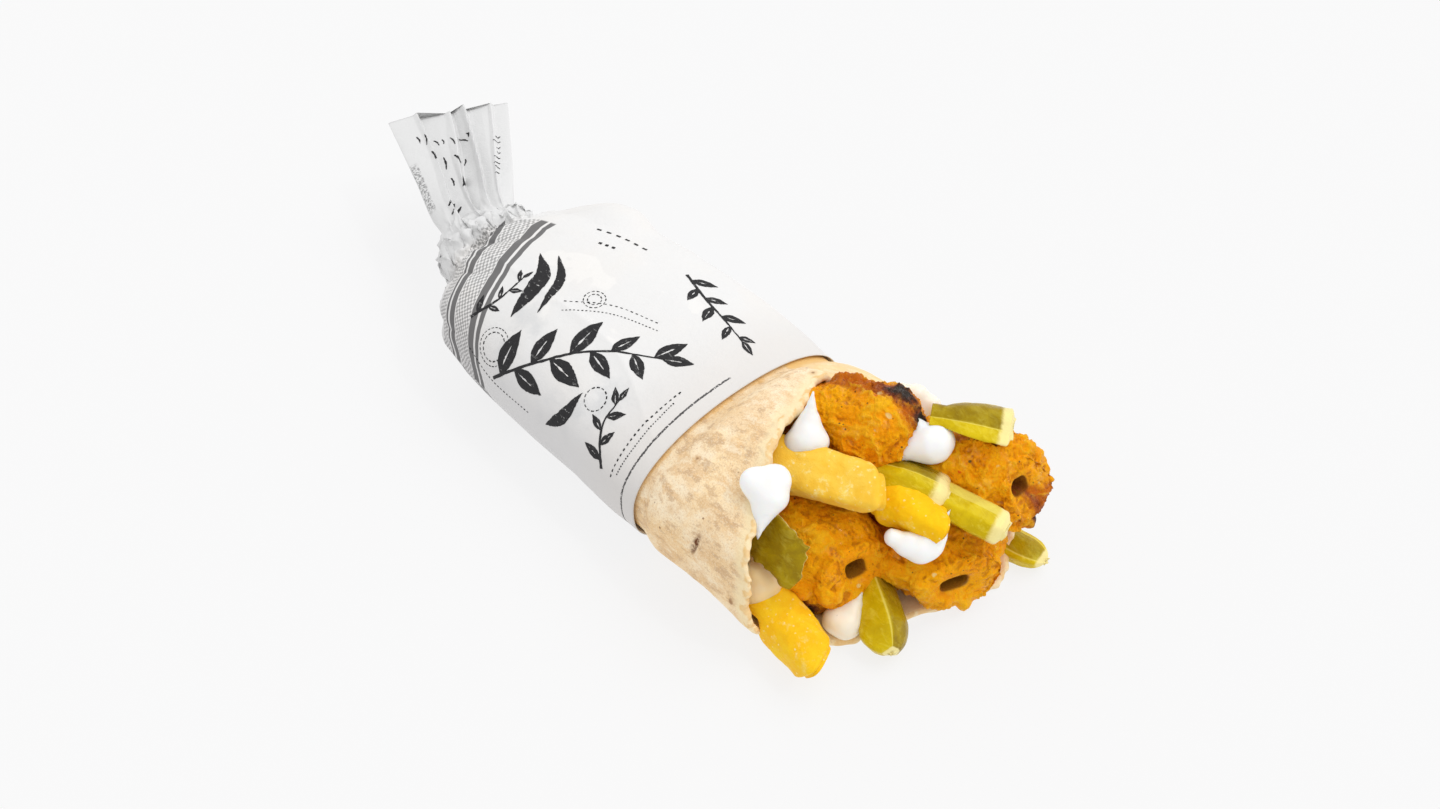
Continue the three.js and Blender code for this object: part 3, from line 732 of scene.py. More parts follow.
ink, dryness = [], []
for stem, count, long, wide, last in SPRIGS:
    ink.append(stroke(stem, (0.5, 0.35, 0.2), 40))
    for k in range(count):
        share = np.array((k + 0.6) / count)
        base, forward = flat_path(stem, share)
        hand = 1 if k % 2 else -1
        heading = math.atan2(forward[1], forward[0]) + hand * (0.85 + 0.15 * math.sin(3 * k))
        size = 1 + (last - 1) * float(share) + 0.1 * math.sin(5 * k)
        ink += leaf(base, heading, long * size, wide * size)
    tip, forward = flat_path(stem, np.array(1.0))
    ink += leaf(tip, math.atan2(forward[1], forward[0]), long * last, wide * last)
dryness += [0.25] * len(ink)
for points, widths, dry in SWEEPS:
    ink.append(stroke(points, widths, 60, 24))
    dryness.append(dry)
for middle, radius, count, half in RINGS:
    for k in range(count):
        turns = 2 * np.pi * (k + np.array([0, 0.3, 0.6])) / count
        points = [(middle[0] + radius * math.cos(t), middle[1] + radius * math.sin(t)) for t in turns]
        ink.append(stroke(points, (half, half), *LINE_RINGS))
for points, count, half in DASHED:
    for k in range(count):
        ends = [flat_path(points, np.array((k + part) / count))[0] for part in (0.1, 0.55)]
        ink.append(stroke(ends, (half, half), *LINE_RINGS))
for points, count, long, half in TAIL_MARKS:
    for k in range(count):
        start, forward = flat_path(points, np.array((k + 0.5) / count))
        lean = math.atan2(forward[1], forward[0]) + 1.2 + 0.25 * math.sin(2.3 * k)
        tick = np.array([math.cos(lean), math.sin(lean)]) * long * (0.8 + 0.3 * math.sin(1.7 * k))
        ends = [start, start + tick * 0.5 + forward * 0.3, start + tick]
        ink.append(stroke(ends, (half * 0.6, half, half * 0.5), 9, 8))
dryness += [0.1] * (len(ink) - len(dryness))

drawing = skin("printed_drawings", ink, layers={"dry": dryness})
black, where = finish("black ink")
dragged = where.grain(1.1, 4, 0.7, 0.0, (2.5, 1, 1)) + 0.25 * where.grain(0.4, 2)
bare = where.layer("dry") * dragged.between(0.72, 0.86)
solid_ink = where.grain(0.5, 2).blend((0.012, 0.012, 0.013), (0.035, 0.034, 0.036))
coat(
    black,
    {
        "Base Color": bare.blend(solid_ink, (0.8, 0.79, 0.78)),
        "Roughness": 0.5 + 0.2 * dragged,
    },
    Specular_IOR_Level=0.2,
)
drawing.data.materials.append(black)
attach(drawing, "root")
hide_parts("paper_sleeve")


# ---- bread ----
# Two thin sheets of saj bread, rolled into a pocket round the filling: pale, mottled where it touched
# the hot dome, with a few charred blisters. Its rim slants, and the near sheet laps over the far one.
GAP = 0.35  # between the bread and the sleeve
BREAD_WALL = 2.2
BREAD_SWELL = 0.9  # how far the bread swells past the roll's outline ahead of the sleeve
BREAD_REAR = -84
SHEET_STEP = 1.5  # the near sheet's step where it laps over the far one, at this angle
SHEET_EDGE = 66
# How far the bread reaches at each angle round the roll: 0 is the +Y side, 90 the top, 180 the -Y side.
RIM = np.array(
    [
        [0, 52], [45, 31], [66, 16.5], [85, 19.5], [110, 27], [125, 32], [140, 38], [160, 43], [190, 45],
        [215, 49], [232, 54], [252, 61], [270, 66], [297, 74], [330, 69], [345, 62], [360, 52],
    ]
)
BREAD_AROUND = 420
LIP = 1.1  # how far the rim's rounded lip reaches past the wall
MOST_RELIEF = 0.9  # swells and blisters rise no higher than this
PINCH = (24.7, -39.1, 27.0)  # a small pinched crease on the near side


def rim_x(angle):
    """The rim's X at an angle, wavering a little as torn bread does."""
    ragged = 0.5 * np.sin(13 * angle + 1.0) + 0.4 * np.sin(29 * angle) + 0.25 * np.sin(61 * angle + 2)
    return column(RIM, np.degrees(angle), 1) - 0.5 + 0.8 * ragged


def bread_point(x, angle, depth):
    """The bread at a depth in its wall: the roll swollen beyond the sleeve, stepped at the lap."""
    x, angle, depth = np.broadcast_arrays(x, angle, depth)
    degrees = np.degrees(angle)
    out = smooth(x, 0.5, 9)
    over = smooth(degrees, SHEET_EDGE - 1.2, SHEET_EDGE + 1.2) * (1 - smooth(degrees, 80, 130))
    wave = 0.8 * np.sin(7 * angle + 0.05 * x) * smooth(x / rim_x(angle), 0.5, 1)
    snug = PAPER_WALL + GAP
    swell = BREAD_SWELL + SHEET_STEP * over + wave
    inset = snug + (-swell - snug) * out + depth
    return roll_point(x, angle, inset, np.maximum(snug * (1 - out) + depth, 0))


bread_angles = all_round(BREAD_AROUND)
shares = np.linspace(0, 1, 128)[:, None] ** 0.93
hidden = np.array([BREAD_REAR, -62, -40, -18, -4])[:, None]
outside = bread_point(shares * rim_x(bread_angles), bread_angles, 0.0)
turn_in = np.linspace(0, np.pi, 9)[1:-1, None]
lip_depth = BREAD_WALL * (1 - np.cos(turn_in)) / 2
lip = bread_point(rim_x(bread_angles) + LIP * np.sin(turn_in), bread_angles, lip_depth)
inside = bread_point(shares[::-2] * rim_x(bread_angles), bread_angles, BREAD_WALL)
bread_rings = [
    bread_point(np.array([[BREAD_REAR - 2]]), bread_angles, 8.0),
    bread_point(hidden, bread_angles, 0.0),
    outside,
    lip,
    inside,
    bread_point(hidden[:0:-1], bread_angles, BREAD_WALL),
    bread_point(np.array([[BREAD_REAR + 5]]), bread_angles, BREAD_WALL + 2),
    bread_point(np.array([[BREAD_REAR + 2]]), bread_angles, BREAD_WALL + 10),
]
bread_grid = np.concatenate(bread_rings)
from_rim = (rim_x(bread_angles) - bread_grid[..., 0]) + 0 * bread_grid[..., 0]
clear = smooth(bread_grid[..., 0], 1, 8)
swells = 0.42 * noise(bread_grid, 15, 41, 2) + 0.10 * noise(bread_grid, 3.2, 43, 3)
blister = 0.35 * smooth(noise(bread_grid * (1, 1.3, 1), 7.5, 47), 0.35, 0.8)
wrinkle = 0.35 * ridges(bread_grid * (0.35, 1, 1), 11, 53, 2) ** 4
toward_pinch = bread_grid - np.array(PINCH)
pinch_run = toward_pinch[..., 2] + 0.5 * toward_pinch[..., 0]
pinch_off = toward_pinch[..., 0] - 0.25 * toward_pinch[..., 2]
pinch = bell(pinch_off, 0, 1.3) * bell(pinch_run, 0, 5.5) * (bread_grid[..., 1] < -25)
height = clear * (swells + blister - wrinkle * smooth(from_rim, 2, 10) - 1.3 * pinch)
bread_grid = raised(bread_grid, np.minimum(height, MOST_RELIEF))
bread_grid[..., 2] = np.maximum(bread_grid[..., 2], 0)
wall_share = (0, 0, 0, 0.5, 1, 1, 1, 1)
wall_row = np.concatenate([np.full(len(ring), share) for share, ring in zip(wall_share, bread_rings)])
far_sheet = 1 - smooth(np.degrees(bread_angles), SHEET_EDGE - 3, SHEET_EDGE)
bread_layers = {
    "from_rim": [np.clip(from_rim, 0, 60)],
    "from_paper": [np.clip(bread_grid[..., 0], 0, 60)],
    "pinch": [pinch],
    "within": [wall_row[:, None]],
    "crown": [blister * clear / 0.35],
    "far_sheet": [far_sheet],
}
bread_object = skin("bread_sheet", [bread_grid], bread_layers)

saj, where = finish("saj bread")
patch = where.grain(6.5, 5, 0.62, 0.0, (1.7, 1, 0.9))
streak = where.grain(4.0, 5, 0.68, 0.0, (1.6, 0.8, 0.8))
fleck = where.grain(1.5, 4, 0.7)
flour = where.grain(0.45, 3, 0.65)
rim, hem, far = (where.layer(name) for name in ("from_rim", "from_paper", "far_sheet"))
bitten = (rim + 1.2 * fleck).below(0.9, 1.7) * where.grain(3, 2).between(0.45, 0.6)
oiled = (hem + 7 * (patch - 0.5)).below(-0.3, 1.0) * 0.45
oiled = oiled.higher(far * (hem + 16 * (streak - 0.5)).below(2, 6) * 0.6)
blisters, scattered = where.spots(9.5, (1, 0.8, 1.7)), where.grain(16, 2)
char_spot = blisters.below(0.05, 0.1) * scattered.between(0.48, 0.58)
small_spot = where.spots(5.5, (1, 0.7, 1.3)).below(0.04, 0.08) * where.grain(10, 2).between(0.5, 0.6)
tone = where.grain(15, 3, 0.6).between(0.36, 0.62).blend((0.97, 0.74, 0.44), (0.99, 0.82, 0.58))
tone = tone.coated(
    # brown mottling and pale streaks where the sheet met the dome, and flour
    (where.grain(18, 3, 0.6).below(0.40, 0.54) * 0.6, (0.83, 0.55, 0.27)),
    (patch.between(0.48, 0.58) * 0.75, (0.80, 0.53, 0.27)),
    (streak.between(0.52, 0.62) * 0.7, (0.60, 0.39, 0.22)),
    (streak.below(0.36, 0.47) * 0.6, (0.98, 0.84, 0.62)),
    (fleck.between(0.52, 0.7) * 0.35, (0.86, 0.54, 0.22)),
    (where.layer("crown") * 0.3, (0.80, 0.54, 0.27)),
    (flour.between(0.5, 0.66) * 0.45, (0.99, 0.88, 0.68)),
    (flour.below(0.36, 0.48) * 0.5, (0.70, 0.49, 0.30)),
    # the pale rim with brown places, the yellower far sheet, the oil at the paper, and the inner face
    ((rim + 2.5 * (patch - 0.5)).below(0.8, 4.5) * 0.75, (0.95, 0.79, 0.49)),
    (bitten * 0.6, (0.80, 0.46, 0.12)),
    (far * (0.35 + 0.5 * streak.between(0.45, 0.6)), (0.93, 0.68, 0.34)),
    (oiled, (0.86, 0.48, 0.11)),
    (where.layer("within").between(0.4, 0.8), (0.93, 0.74, 0.48)),
    # scorched blisters in brown halos, and the pinched crease
    (blisters.below(0.08, 0.24) * scattered.between(0.46, 0.6) * 0.4, (0.66, 0.36, 0.12)),
    (char_spot.higher(small_spot) * 0.85, (0.24, 0.09, 0.03)),
    (where.layer("pinch").between(0.25, 0.9) * fleck.between(0.3, 0.6), (0.16, 0.055, 0.02)),
)
coat(
    saj,
    {
        "Base Color": tone,
        "Roughness": 0.78 - 0.33 * oiled,
    },
    bump=patch * 0.4 + fleck * 0.4 + flour * 0.3,
    depth=0.6,
    Specular_IOR_Level=0.2,
)
bread_object.data.materials.append(saj)
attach(bread_object, "root")
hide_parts("bread")


# ---- kebabs ----
# Ground meat pressed on skewers and grilled: fibrous, cragged orange-brown rods with charred crests,
# whose ends show the round or flat holes that the skewers left.
# Each: its path, half-sizes behind and in front, hole (middle, width, height) if it shows one, slopes of
# its cut end (across, up), marks of char, roast and torn crests (see spread_over), and how rough it is.
KEBABS = {
    "kebab_near": {
        "seed": 1, "path": [(-68, -13, 14.5), (-20, -15, 15), (24, -11.5, 16), (56, -8.4, 16)],
        "rear": (11, 10.5), "front": (14.8, 14.2), "hole": [(54, -8.8, 18.8), 5.6, 4.8],
        "cut": (-0.3, 0.3), "char": [(0.93, 215, 0.05, 32)],
        "roast": [(0.70, 120, 0.18, 60), (0.86, 150, 0.1, 26), (0.9, 235, 0.08, 40)],
        "ragged": [(0.97, 200, 0.05, 40)], "rough": 0.5,
    },
    "kebab_front": {
        "seed": 2, "path": [(-64, 15, 13), (-10, 20, 13), (42, 20.5, 12.6), (73.5, 12.4, 11.8)],
        "rear": (12, 9.5), "front": (19.4, 11.8), "hole": [(72.2, 10.9, 12.4), 8, 4], "cut": (-0.1, 0.15),
        "char": [(0.83, 120, 0.03, 16)], "roast": [(0.85, 120, 0.06, 40), (0.9, 225, 0.1, 40)],
        "ragged": [(0.97, 250, 0.06, 50)], "rough": 0.85,
    },
    "kebab_far": {
        "seed": 3,
        "path": [(8, 24, 26), (28, 26.5, 26.5), (46, 30, 28), (60, 34.3, 29.2), (72.5, 38, 29.2)],
        "rear": (8, 8), "front": (12.4, 12.6), "hole": [(70.4, 35.4, 31.6), 5.2, 4.8],
        "cut": (-0.35, 0.4), "char": [(0.97, 285, 0.04, 22)], "roast": [(0.97, 300, 0.08, 60)],
        "ragged": [(0.97, 250, 0.08, 40)], "rough": 1.0,
    },
    "kebab_top": {
        "seed": 4, "path": [(5, 6, 30), (22, 12, 37.6), (46.5, 22.5, 41)], "rear": (9, 8.5),
        "front": (12.4, 11.4), "hole": None, "cut": (0, 0),
        "char": [(0.82, 60, 0.18, 30), (1.0, 66, 0.10, 60)],
        "roast": [(0.66, 62, 0.45, 28), (0.97, 75, 0.12, 70), (0.95, 250, 0.15, 60)],
        "ragged": [(0.5, 62, 0.3, 40), (1.0, 40, 0.12, 70)], "rough": 0.95,
    },
}
KEBAB_AROUND = 230
KEBAB_RINGS = 270
FACE_RINGS = 24  # over the cut end
BORE_RINGS = 22  # down the hole
CUT_ROUNDING = (0.25, 0.08, 0.7)  # the shares of its length over which it rounds, and its least fullness
WHOLE_ROUNDING = (0.6, 0.26, 0.3)  # the same for the kebab whose end isn't cut
SKEWER_POWER = 3.4  # how squared the holes are
HOLE_DEEP = 17
FACE_CROWN = 1.2  # how far a cut end bulges, and how far it is set back
FACE_BACK = 1.0
CREST_HEIGHT = 2.2  # how far torn crests stand out
BREAD_FLOOR = 2.3  # the bread's upper face under the filling
PRESS = 0.2  # how far the filling presses into the bread's wall
SLEEVED = 1.5  # how much further in that wall is where the sleeve holds it


def lumps(seed, along, around):
    """Three slow waves added up, from -1 to 1, that make a surface uneven."""
    first = 0.5 * np.sin(2 * around + 5.1 * along + seed * 2.3)
    second = 0.3 * np.sin(3 * around - 9.7 * along + seed * 4.1)
    return first + second + 0.2 * np.sin(5 * around + 16.3 * along + seed * 1.7)


def fullness(share, rear, front, least):
    """How full a stick is: a quarter circle over its rear and front parts, never under least."""

    def end(k, part):
        return np.sqrt(1 - (1 - np.clip(k / part, 0, 1)) ** 2)

    return np.maximum(end(share, rear) * end(1 - share, front), least)


def along_stick(path, share, a, u, roll=0.0, ahead=0.0):
    """Points a across and u up from a path, turned by roll degrees, and pushed ahead along it."""
    middle, forward = along_path(path, share)
    across, up = frame_of(forward)
    c, s = math.cos(math.radians(roll)), math.sin(math.radians(roll))
    turned_across, turned_up = across * c + up * s, up * c - across * s
    ahead = np.broadcast_to(ahead, np.broadcast(share, a).shape)
    return (
        middle
        + np.asarray(a)[..., None] * turned_across
        + np.asarray(u)[..., None] * turned_up
        + ahead[..., None] * forward
    )


def clumped(points, size, seed):
    """Distance to the nearest of scattered centres, one to a cell: 0 at a centre, about 1 between."""
    spot = points / size
    cell = np.floor(spot)
    nearest = np.full(points.shape[:-1], 9.0)
    for corner in np.ndindex(3, 3, 3):
        other = cell + np.array(corner) - 1
        centre = other + np.stack([lattice(other, seed + k) for k in range(3)], -1)
        nearest = np.minimum(nearest, np.linalg.norm(spot - centre, axis=-1))
    return nearest


def turn_from(angles, degrees):
    """How far angles lie from a turn of so many degrees, from -180 to 180."""
    return (np.degrees(angles) - degrees + 180) % 360 - 180


def spread_over(places, share, angles):
    """Marks on a stick: each a bell round a share of its length and a turn, [share, turn, long, wide]."""
    marks = 0 * share * angles
    for at, degrees, long, wide in places:
        marks = np.maximum(marks, bell(share, at, long) * bell(turn_from(angles, degrees), 0, wide))
    return marks


def pressed_in(points):
    """Points drawn in to the bread's inner face wherever the bread reaches round them.

    The face is |a|^p + |u|^p = 1, where a and u are the ways across and up as shares of its half-sizes.
    """
    x, y, z = (points[..., k] for k in range(3))
    near, far, top, under, shift = (column(OUTLINE, x, c) for c in range(1, 6))
    inset = BREAD_WALL - PRESS + SLEEVED * (1 - smooth(x, 0.5, 9))
    middle = (top + under - BASE_SINK) / 2
    a = (y - shift) / (np.where(y >= shift, far, near) - inset)
    u = (z - middle) / ((top - under + BASE_SINK) / 2 - inset)
    power = np.where(u >= 0, TOP_POWER, BASE_POWER)
    fill = (np.abs(a) ** power + np.abs(u) ** power) ** (1 / power)
    round_a, round_u = (np.sign(v) * np.abs(v) ** (power / 2) for v in (a, u))
    held = 1 - smooth(x - rim_x(np.arctan2(round_u, round_a) % (2 * np.pi)), -2, 1)
    shrink = 1 + (1 / np.maximum(fill, 1) - 1) * held
    return np.stack([x, shift + (y - shift) * shrink, middle + (z - middle) * shrink], -1)


def minced(points, seed, rough):
    """Relief of grilled mince in mm, whole and fine: dents, and torn folds, strands, tears and crumbs."""
    warped = points + 1.5 * np.stack([noise(points, 3.5, seed + k, 2) for k in range(3)], -1)
    dents = 0.8 * noise(points, 9, seed, 2)
    folds = 0.95 * (ridges(warped * (0.7, 1, 1), 7.0, seed + 7, 2) ** 1.6 - 0.35)
    strands = 0.5 * (ridges(warped * (0.35, 1, 1), 2.6, seed + 9, 2) ** 1.3 - 0.4)
    tears = -1.2 * smooth(noise(warped * (0.6, 1, 1), 3.4, seed + 21, 2), 0.62, 1.05)
    crumbs = 0.4 * (0.5 - clumped(warped, 1.5, seed + 11)) + 0.26 * noise(points, 0.8, seed + 17, 2)
    fine = rough * (folds + strands + tears) + (0.35 + 0.65 * rough) * crumbs
    return dents + fine, fine


meat, where = finish("grilled kebab")
cavity = 1 - where.layer("relief")
charred, roasted = where.layer("char"), where.layer("roast")
broad = where.grain(6, 4, 0.62, 0.4)
fleck = where.grain(1.5, 4, 0.72, 0.6)
fine = where.grain(0.45, 3, 0.65)
onion = where.spots(6.5, (1.7, 0.9, 0.8)).below(0.1, 0.15) * where.grain(9, 2).between(0.5, 0.56)
red = where.spots(7.3, (1, 0.8, 1)).below(0.09, 0.13) * where.grain(11, 2).between(0.48, 0.56)
herb = where.spots(8.1, (0.7, 1.5, 1)).below(0.06, 0.09) * where.grain(12, 2).between(0.46, 0.54)
pepper = where.spots(2.2).below(0.1, 0.15) * where.grain(6, 2).between(0.48, 0.56)
roast = (roasted + 0.9 * (broad - 0.5) + 0.6 * (fleck - 0.5)).between(0.3, 0.85)
scorch = (charred + 0.6 * (broad - 0.5) + 0.6 * (fleck - 0.5)).between(0.3, 0.8)
burnt = (charred + 0.6 * (fleck - 0.5) - 0.2 * cavity).between(0.5, 0.85)
tone = broad.between(0.35, 0.62).blend((1.0, 0.43, 0.002), (0.99, 0.35, 0.002))
tone = tone.coated(
    # flecks of painted highlight, roasted places, painted shade in the hollows, painted highlights on the
    # crests, and fine specks
    (fleck.between(0.5, 0.66) * 0.6, (1.0, 0.52, 0.01)),
    (roast * 0.85, (0.50, 0.085, 0.004)),
    (where.grain(3.6, 6, 0.78).between(0.58, 0.68) * 0.45, (0.70, 0.17, 0.004)),
    # painted shade darkens the relief's hollows, and a painted highlight brightens its crests
    (cavity.between(0.7, 1.0) * 0.5, (0.40, 0.075, 0.004)),
    (cavity.below(0.05, 0.4) * 0.4, (1.0, 0.58, 0.02)),
    (fine.between(0.64, 0.72) * 0.45, (0.40, 0.09, 0.006)),
    (where.grain(0.9, 3, 0.7).between(0.70, 0.76) * 0.7, (0.14, 0.03, 0.006)),
    (fine.below(0.28, 0.4) * 0.4, (0.99, 0.66, 0.08)),
    # what is mixed into the meat
    (onion * 0.75, (0.93, 0.70, 0.30)),
    (red * 0.85, (0.80, 0.085, 0.008)),
    (herb * 0.85, (0.05, 0.09, 0.01)),
    (pepper * 0.9, (0.045, 0.02, 0.012)),
    # painted shade down the skewer's hole, and char that goes from brown to black
    (where.layer("bore") * 0.8, (0.16, 0.045, 0.008)),
    (scorch * 0.92, (0.22, 0.035, 0.02)),
    (burnt, (0.02, 0.015, 0.02)),
)
coat(
    meat,
    {
        "Base Color": tone,
        "Roughness": 0.22 + 0.45 * fleck.between(0.42, 0.56) + 0.1 * fine,
        "Coat Weight": where.grain(4.5, 4, 0.65).between(0.54, 0.62) * 0.6,
    },
    bump=fleck * 0.6 + fine * 0.6,
    depth=0.9,
    Specular_IOR_Level=0.35,
    Specular_Tint=(1.0, 0.72, 0.2, 1),
    Coat_Roughness=0.12,
    Coat_IOR=1.4,
)

for name, kebab in KEBABS.items():
    seed, path, hole = kebab["seed"], kebab["path"], kebab["hole"]
    angles = all_round(KEBAB_AROUND)
    share = np.linspace(0.004, 1, KEBAB_RINGS)[:, None] ** 0.6
    rounding = CUT_ROUNDING if hole else WHOLE_ROUNDING
    size = fullness(share, *rounding) * (1 + 0.1 * lumps(seed, share, angles))
    wide, high = (
        rear + (front - rear) * smooth(share, 0, 1)
        for rear, front in zip(kebab["rear"], kebab["front"])
    )
    a, u = wide * size * np.cos(angles), high * size * np.sin(angles)
    ahead, kept, bore = 0 * size, 0 * share, 0 * share
    if hole:
        # Rings run inward over the cut end to the hole's mouth, and then deep into the hole.
        through, hole_wide, hole_high = hole
        end, forward = along_path(path, np.array(1.0))
        across, up = frame_of(forward)
        off = np.array(through) - end
        inward = np.linspace(0, 1, FACE_RINGS)[1:, None]
        deep = np.linspace(0, 1, BORE_RINGS)[1:, None] ** 1.2
        mouth_a, mouth_u = squared(angles, SKEWER_POWER)
        mouth_a = off @ across + hole_wide / 2 * mouth_a
        mouth_u = off @ up + hole_high / 2 * mouth_u
        a = np.concatenate([a, a[-1:] + (mouth_a - a[-1:]) * inward, mouth_a + 0 * deep])
        u = np.concatenate([u, u[-1:] + (mouth_u - u[-1:]) * inward, mouth_u + 0 * deep])
        face_ahead = FACE_CROWN * np.sin(np.pi * inward) + 0 * angles
        ahead = np.concatenate([ahead, face_ahead, -HOLE_DEEP * deep + 0 * angles])
        leaning = np.concatenate([smooth(share, 0.7, 1), 1 + 0 * inward, 1 + 0 * deep])
        ahead = ahead - leaning * (kebab["cut"][0] * a + kebab["cut"][1] * u + FACE_BACK)
        kept = np.concatenate([kept, 0.9 * smooth(inward, 0.3, 0.9), 0.85 + 0 * deep])
        bore = np.concatenate([bore, smooth(inward, 0.93, 1.0), 1 + 0 * deep])
        share = np.concatenate([share, np.ones_like(inward), np.ones_like(deep)])
    grid = along_stick(path, share, a, u, ahead=ahead)
    relief, crags = minced(grid, seed * 100, kebab["rough"])
    deepest, highest = np.percentile(crags, (4, 96))
    crests = smooth(noise(grid, 4.6, seed * 100 + 61, 2), 0.0, 0.9)
    crest_lift = CREST_HEIGHT * spread_over(kebab["ragged"], share, angles) * crests
    grid = pressed_in(raised(grid, (relief - np.percentile(relief, 72) + crest_lift) * (1 - kept)))
    grid[..., 2] = np.maximum(grid[..., 2], BREAD_FLOOR)
    layers = {
        "relief": [np.clip((crags - deepest) / (highest - deepest), 0, 1)],
        "bore": [bore],
        "char": [spread_over(kebab["char"], share, angles)],
        "roast": [spread_over(kebab["roast"], share, angles)],
    }
    piece = skin(name + "_meat", [grid], layers)
    piece.data.materials.append(meat)
    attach(piece, "root")
    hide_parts(name)


# ---- potato chips ----
# Thick-cut potato, fried soft and pale: squared bars with rounded edges and blunt ends, golden where
# the fat caught them and dusted with coarse salt.
# Each: its path, width and height, turn about its path, how golden it is, how squared, the sides on which
# it narrows towards its end as [turn, least share], and the slopes of its end, across and up.
CHIPS = {
    "chip_top": {
        "seed": 5, "path": [(-8, -17.6, 29), (18, -11.6, 35.4), (51.2, 1.9, 37.2)], "size": (15.4, 11),
        "roll": 24, "gold": 0.15, "power": 3.8, "narrowed": [(180, 0.72), (270, 0.7)], "slant": -0.42,
        "tilt": 0.62,
    },
    "chip_middle": {
        "seed": 6, "path": [(46.5, 7, 28.8), (55, 9.2, 31), (65.6, 12.2, 30)], "size": (13.8, 12),
        "roll": 12, "gold": 0.95, "power": 2.3, "narrowed": [(45, 0.5)], "slant": -0.3, "tilt": 0.5,
    },
    "chip_low": {
        "seed": 7, "path": [(22, -27, 10.5), (44, -29, 9.4), (63.4, -31.3, 7.4)], "size": (14.8, 13),
        "roll": -8, "gold": 0.85, "power": 2.8, "narrowed": [(0, 0.86), (250, 0.86)], "slant": -0.6,
        "tilt": 0.6,
    },
}
CHIP_AROUND = 160
CHIP_RINGS = 150
CHIP_ROUNDING = (0.2, 0.07, 0.72)  # as CUT_ROUNDING

potato, where = finish("fried potato")
gold, edge = where.layer("gold"), where.layer("edge")
cloudy = where.grain(5.5, 4, 0.6, 0.4)
mealy = where.grain(1.1, 4, 0.7)
fine = where.grain(0.35, 2)
pale = cloudy.between(0.3, 0.7).blend((0.91, 0.53, 0.05), (0.94, 0.62, 0.10))
rich = cloudy.between(0.3, 0.7).blend((0.93, 0.49, 0.002), (0.95, 0.59, 0.003))
chalk = where.grain(3.4, 4, 0.7).between(0.54, 0.7) * (0.75 - 0.55 * gold)
salt = where.spots(2.0).below(0.1, 0.22) * mealy.between(0.44, 0.56)
tone = gold.blend(pale, rich).coated(
    (edge * 0.3, (0.93, 0.52, 0.008)),
    (chalk, (0.96, 0.84, 0.38)),
    (salt * 0.6, (0.98, 0.89, 0.50)),
)
coat(
    potato,
    {
        "Base Color": tone,
        "Roughness": 0.40 + 0.25 * mealy,
    },
    bump=mealy * 0.5 + fine * 0.2 + cloudy * 0.4,
    depth=0.4,
    Specular_IOR_Level=0.3,
    Specular_Tint=(1.0, 0.85, 0.2, 1),
)


def ended(a, u, share, rings):
    """A stick's rings with its end face added: the last ring drawn in to its middle in equal steps."""
    closing = np.linspace(1, 0.02, rings)[1:, None]
    a, u = (np.concatenate([way, way[-1:] * closing]) for way in (a, u))
    return a, u, np.concatenate([share, np.ones_like(closing)]), closing


for name, cut in CHIPS.items():
    angles = all_round(CHIP_AROUND)
    share = np.linspace(0, 1, CHIP_RINGS)[:, None]
    size = fullness(share, *CHIP_ROUNDING) * (1 + 0.05 * lumps(cut["seed"], share, angles))
    for side, least in cut["narrowed"]:
        facing = np.maximum(np.cos(angles - math.radians(side)), 0) ** 1.5
        size = size * (1 - (1 - least) * facing * smooth(share, 0.35, 1))
    across, up = squared(angles, cut["power"])
    a, u = cut["size"][0] / 2 * size * across, cut["size"][1] / 2 * size * up
    a, u, share, closing = ended(a, u, share, 22)
    ahead = (cut["slant"] * a + cut["tilt"] * u) * smooth(share, 0.3, 1)
    grid = along_stick(cut["path"], share, a, u, cut["roll"], ahead)
    uneven = 0.35 * noise(grid, 6, cut["seed"] * 100, 2) + 0.09 * noise(grid, 1.4, cut["seed"], 2) - 0.15
    grid = pressed_in(raised(grid, uneven * (1 - 0.9 * smooth(share, 0.94, 0.99))))
    end_rim = np.concatenate([smooth(share[:CHIP_RINGS], 0.9, 0.99), smooth(closing, 0.5, 1)])
    edges = np.maximum(smooth(0.5 - np.abs(np.cos(2 * angles)), 0.2, 0.5) + 0 * share, end_rim)
    piece = skin(name + "_potato", [grid], layers={"gold": [cut["gold"]], "edge": [edges]})
    piece.data.materials.append(potato)
    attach(piece, "root")
    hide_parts(name)


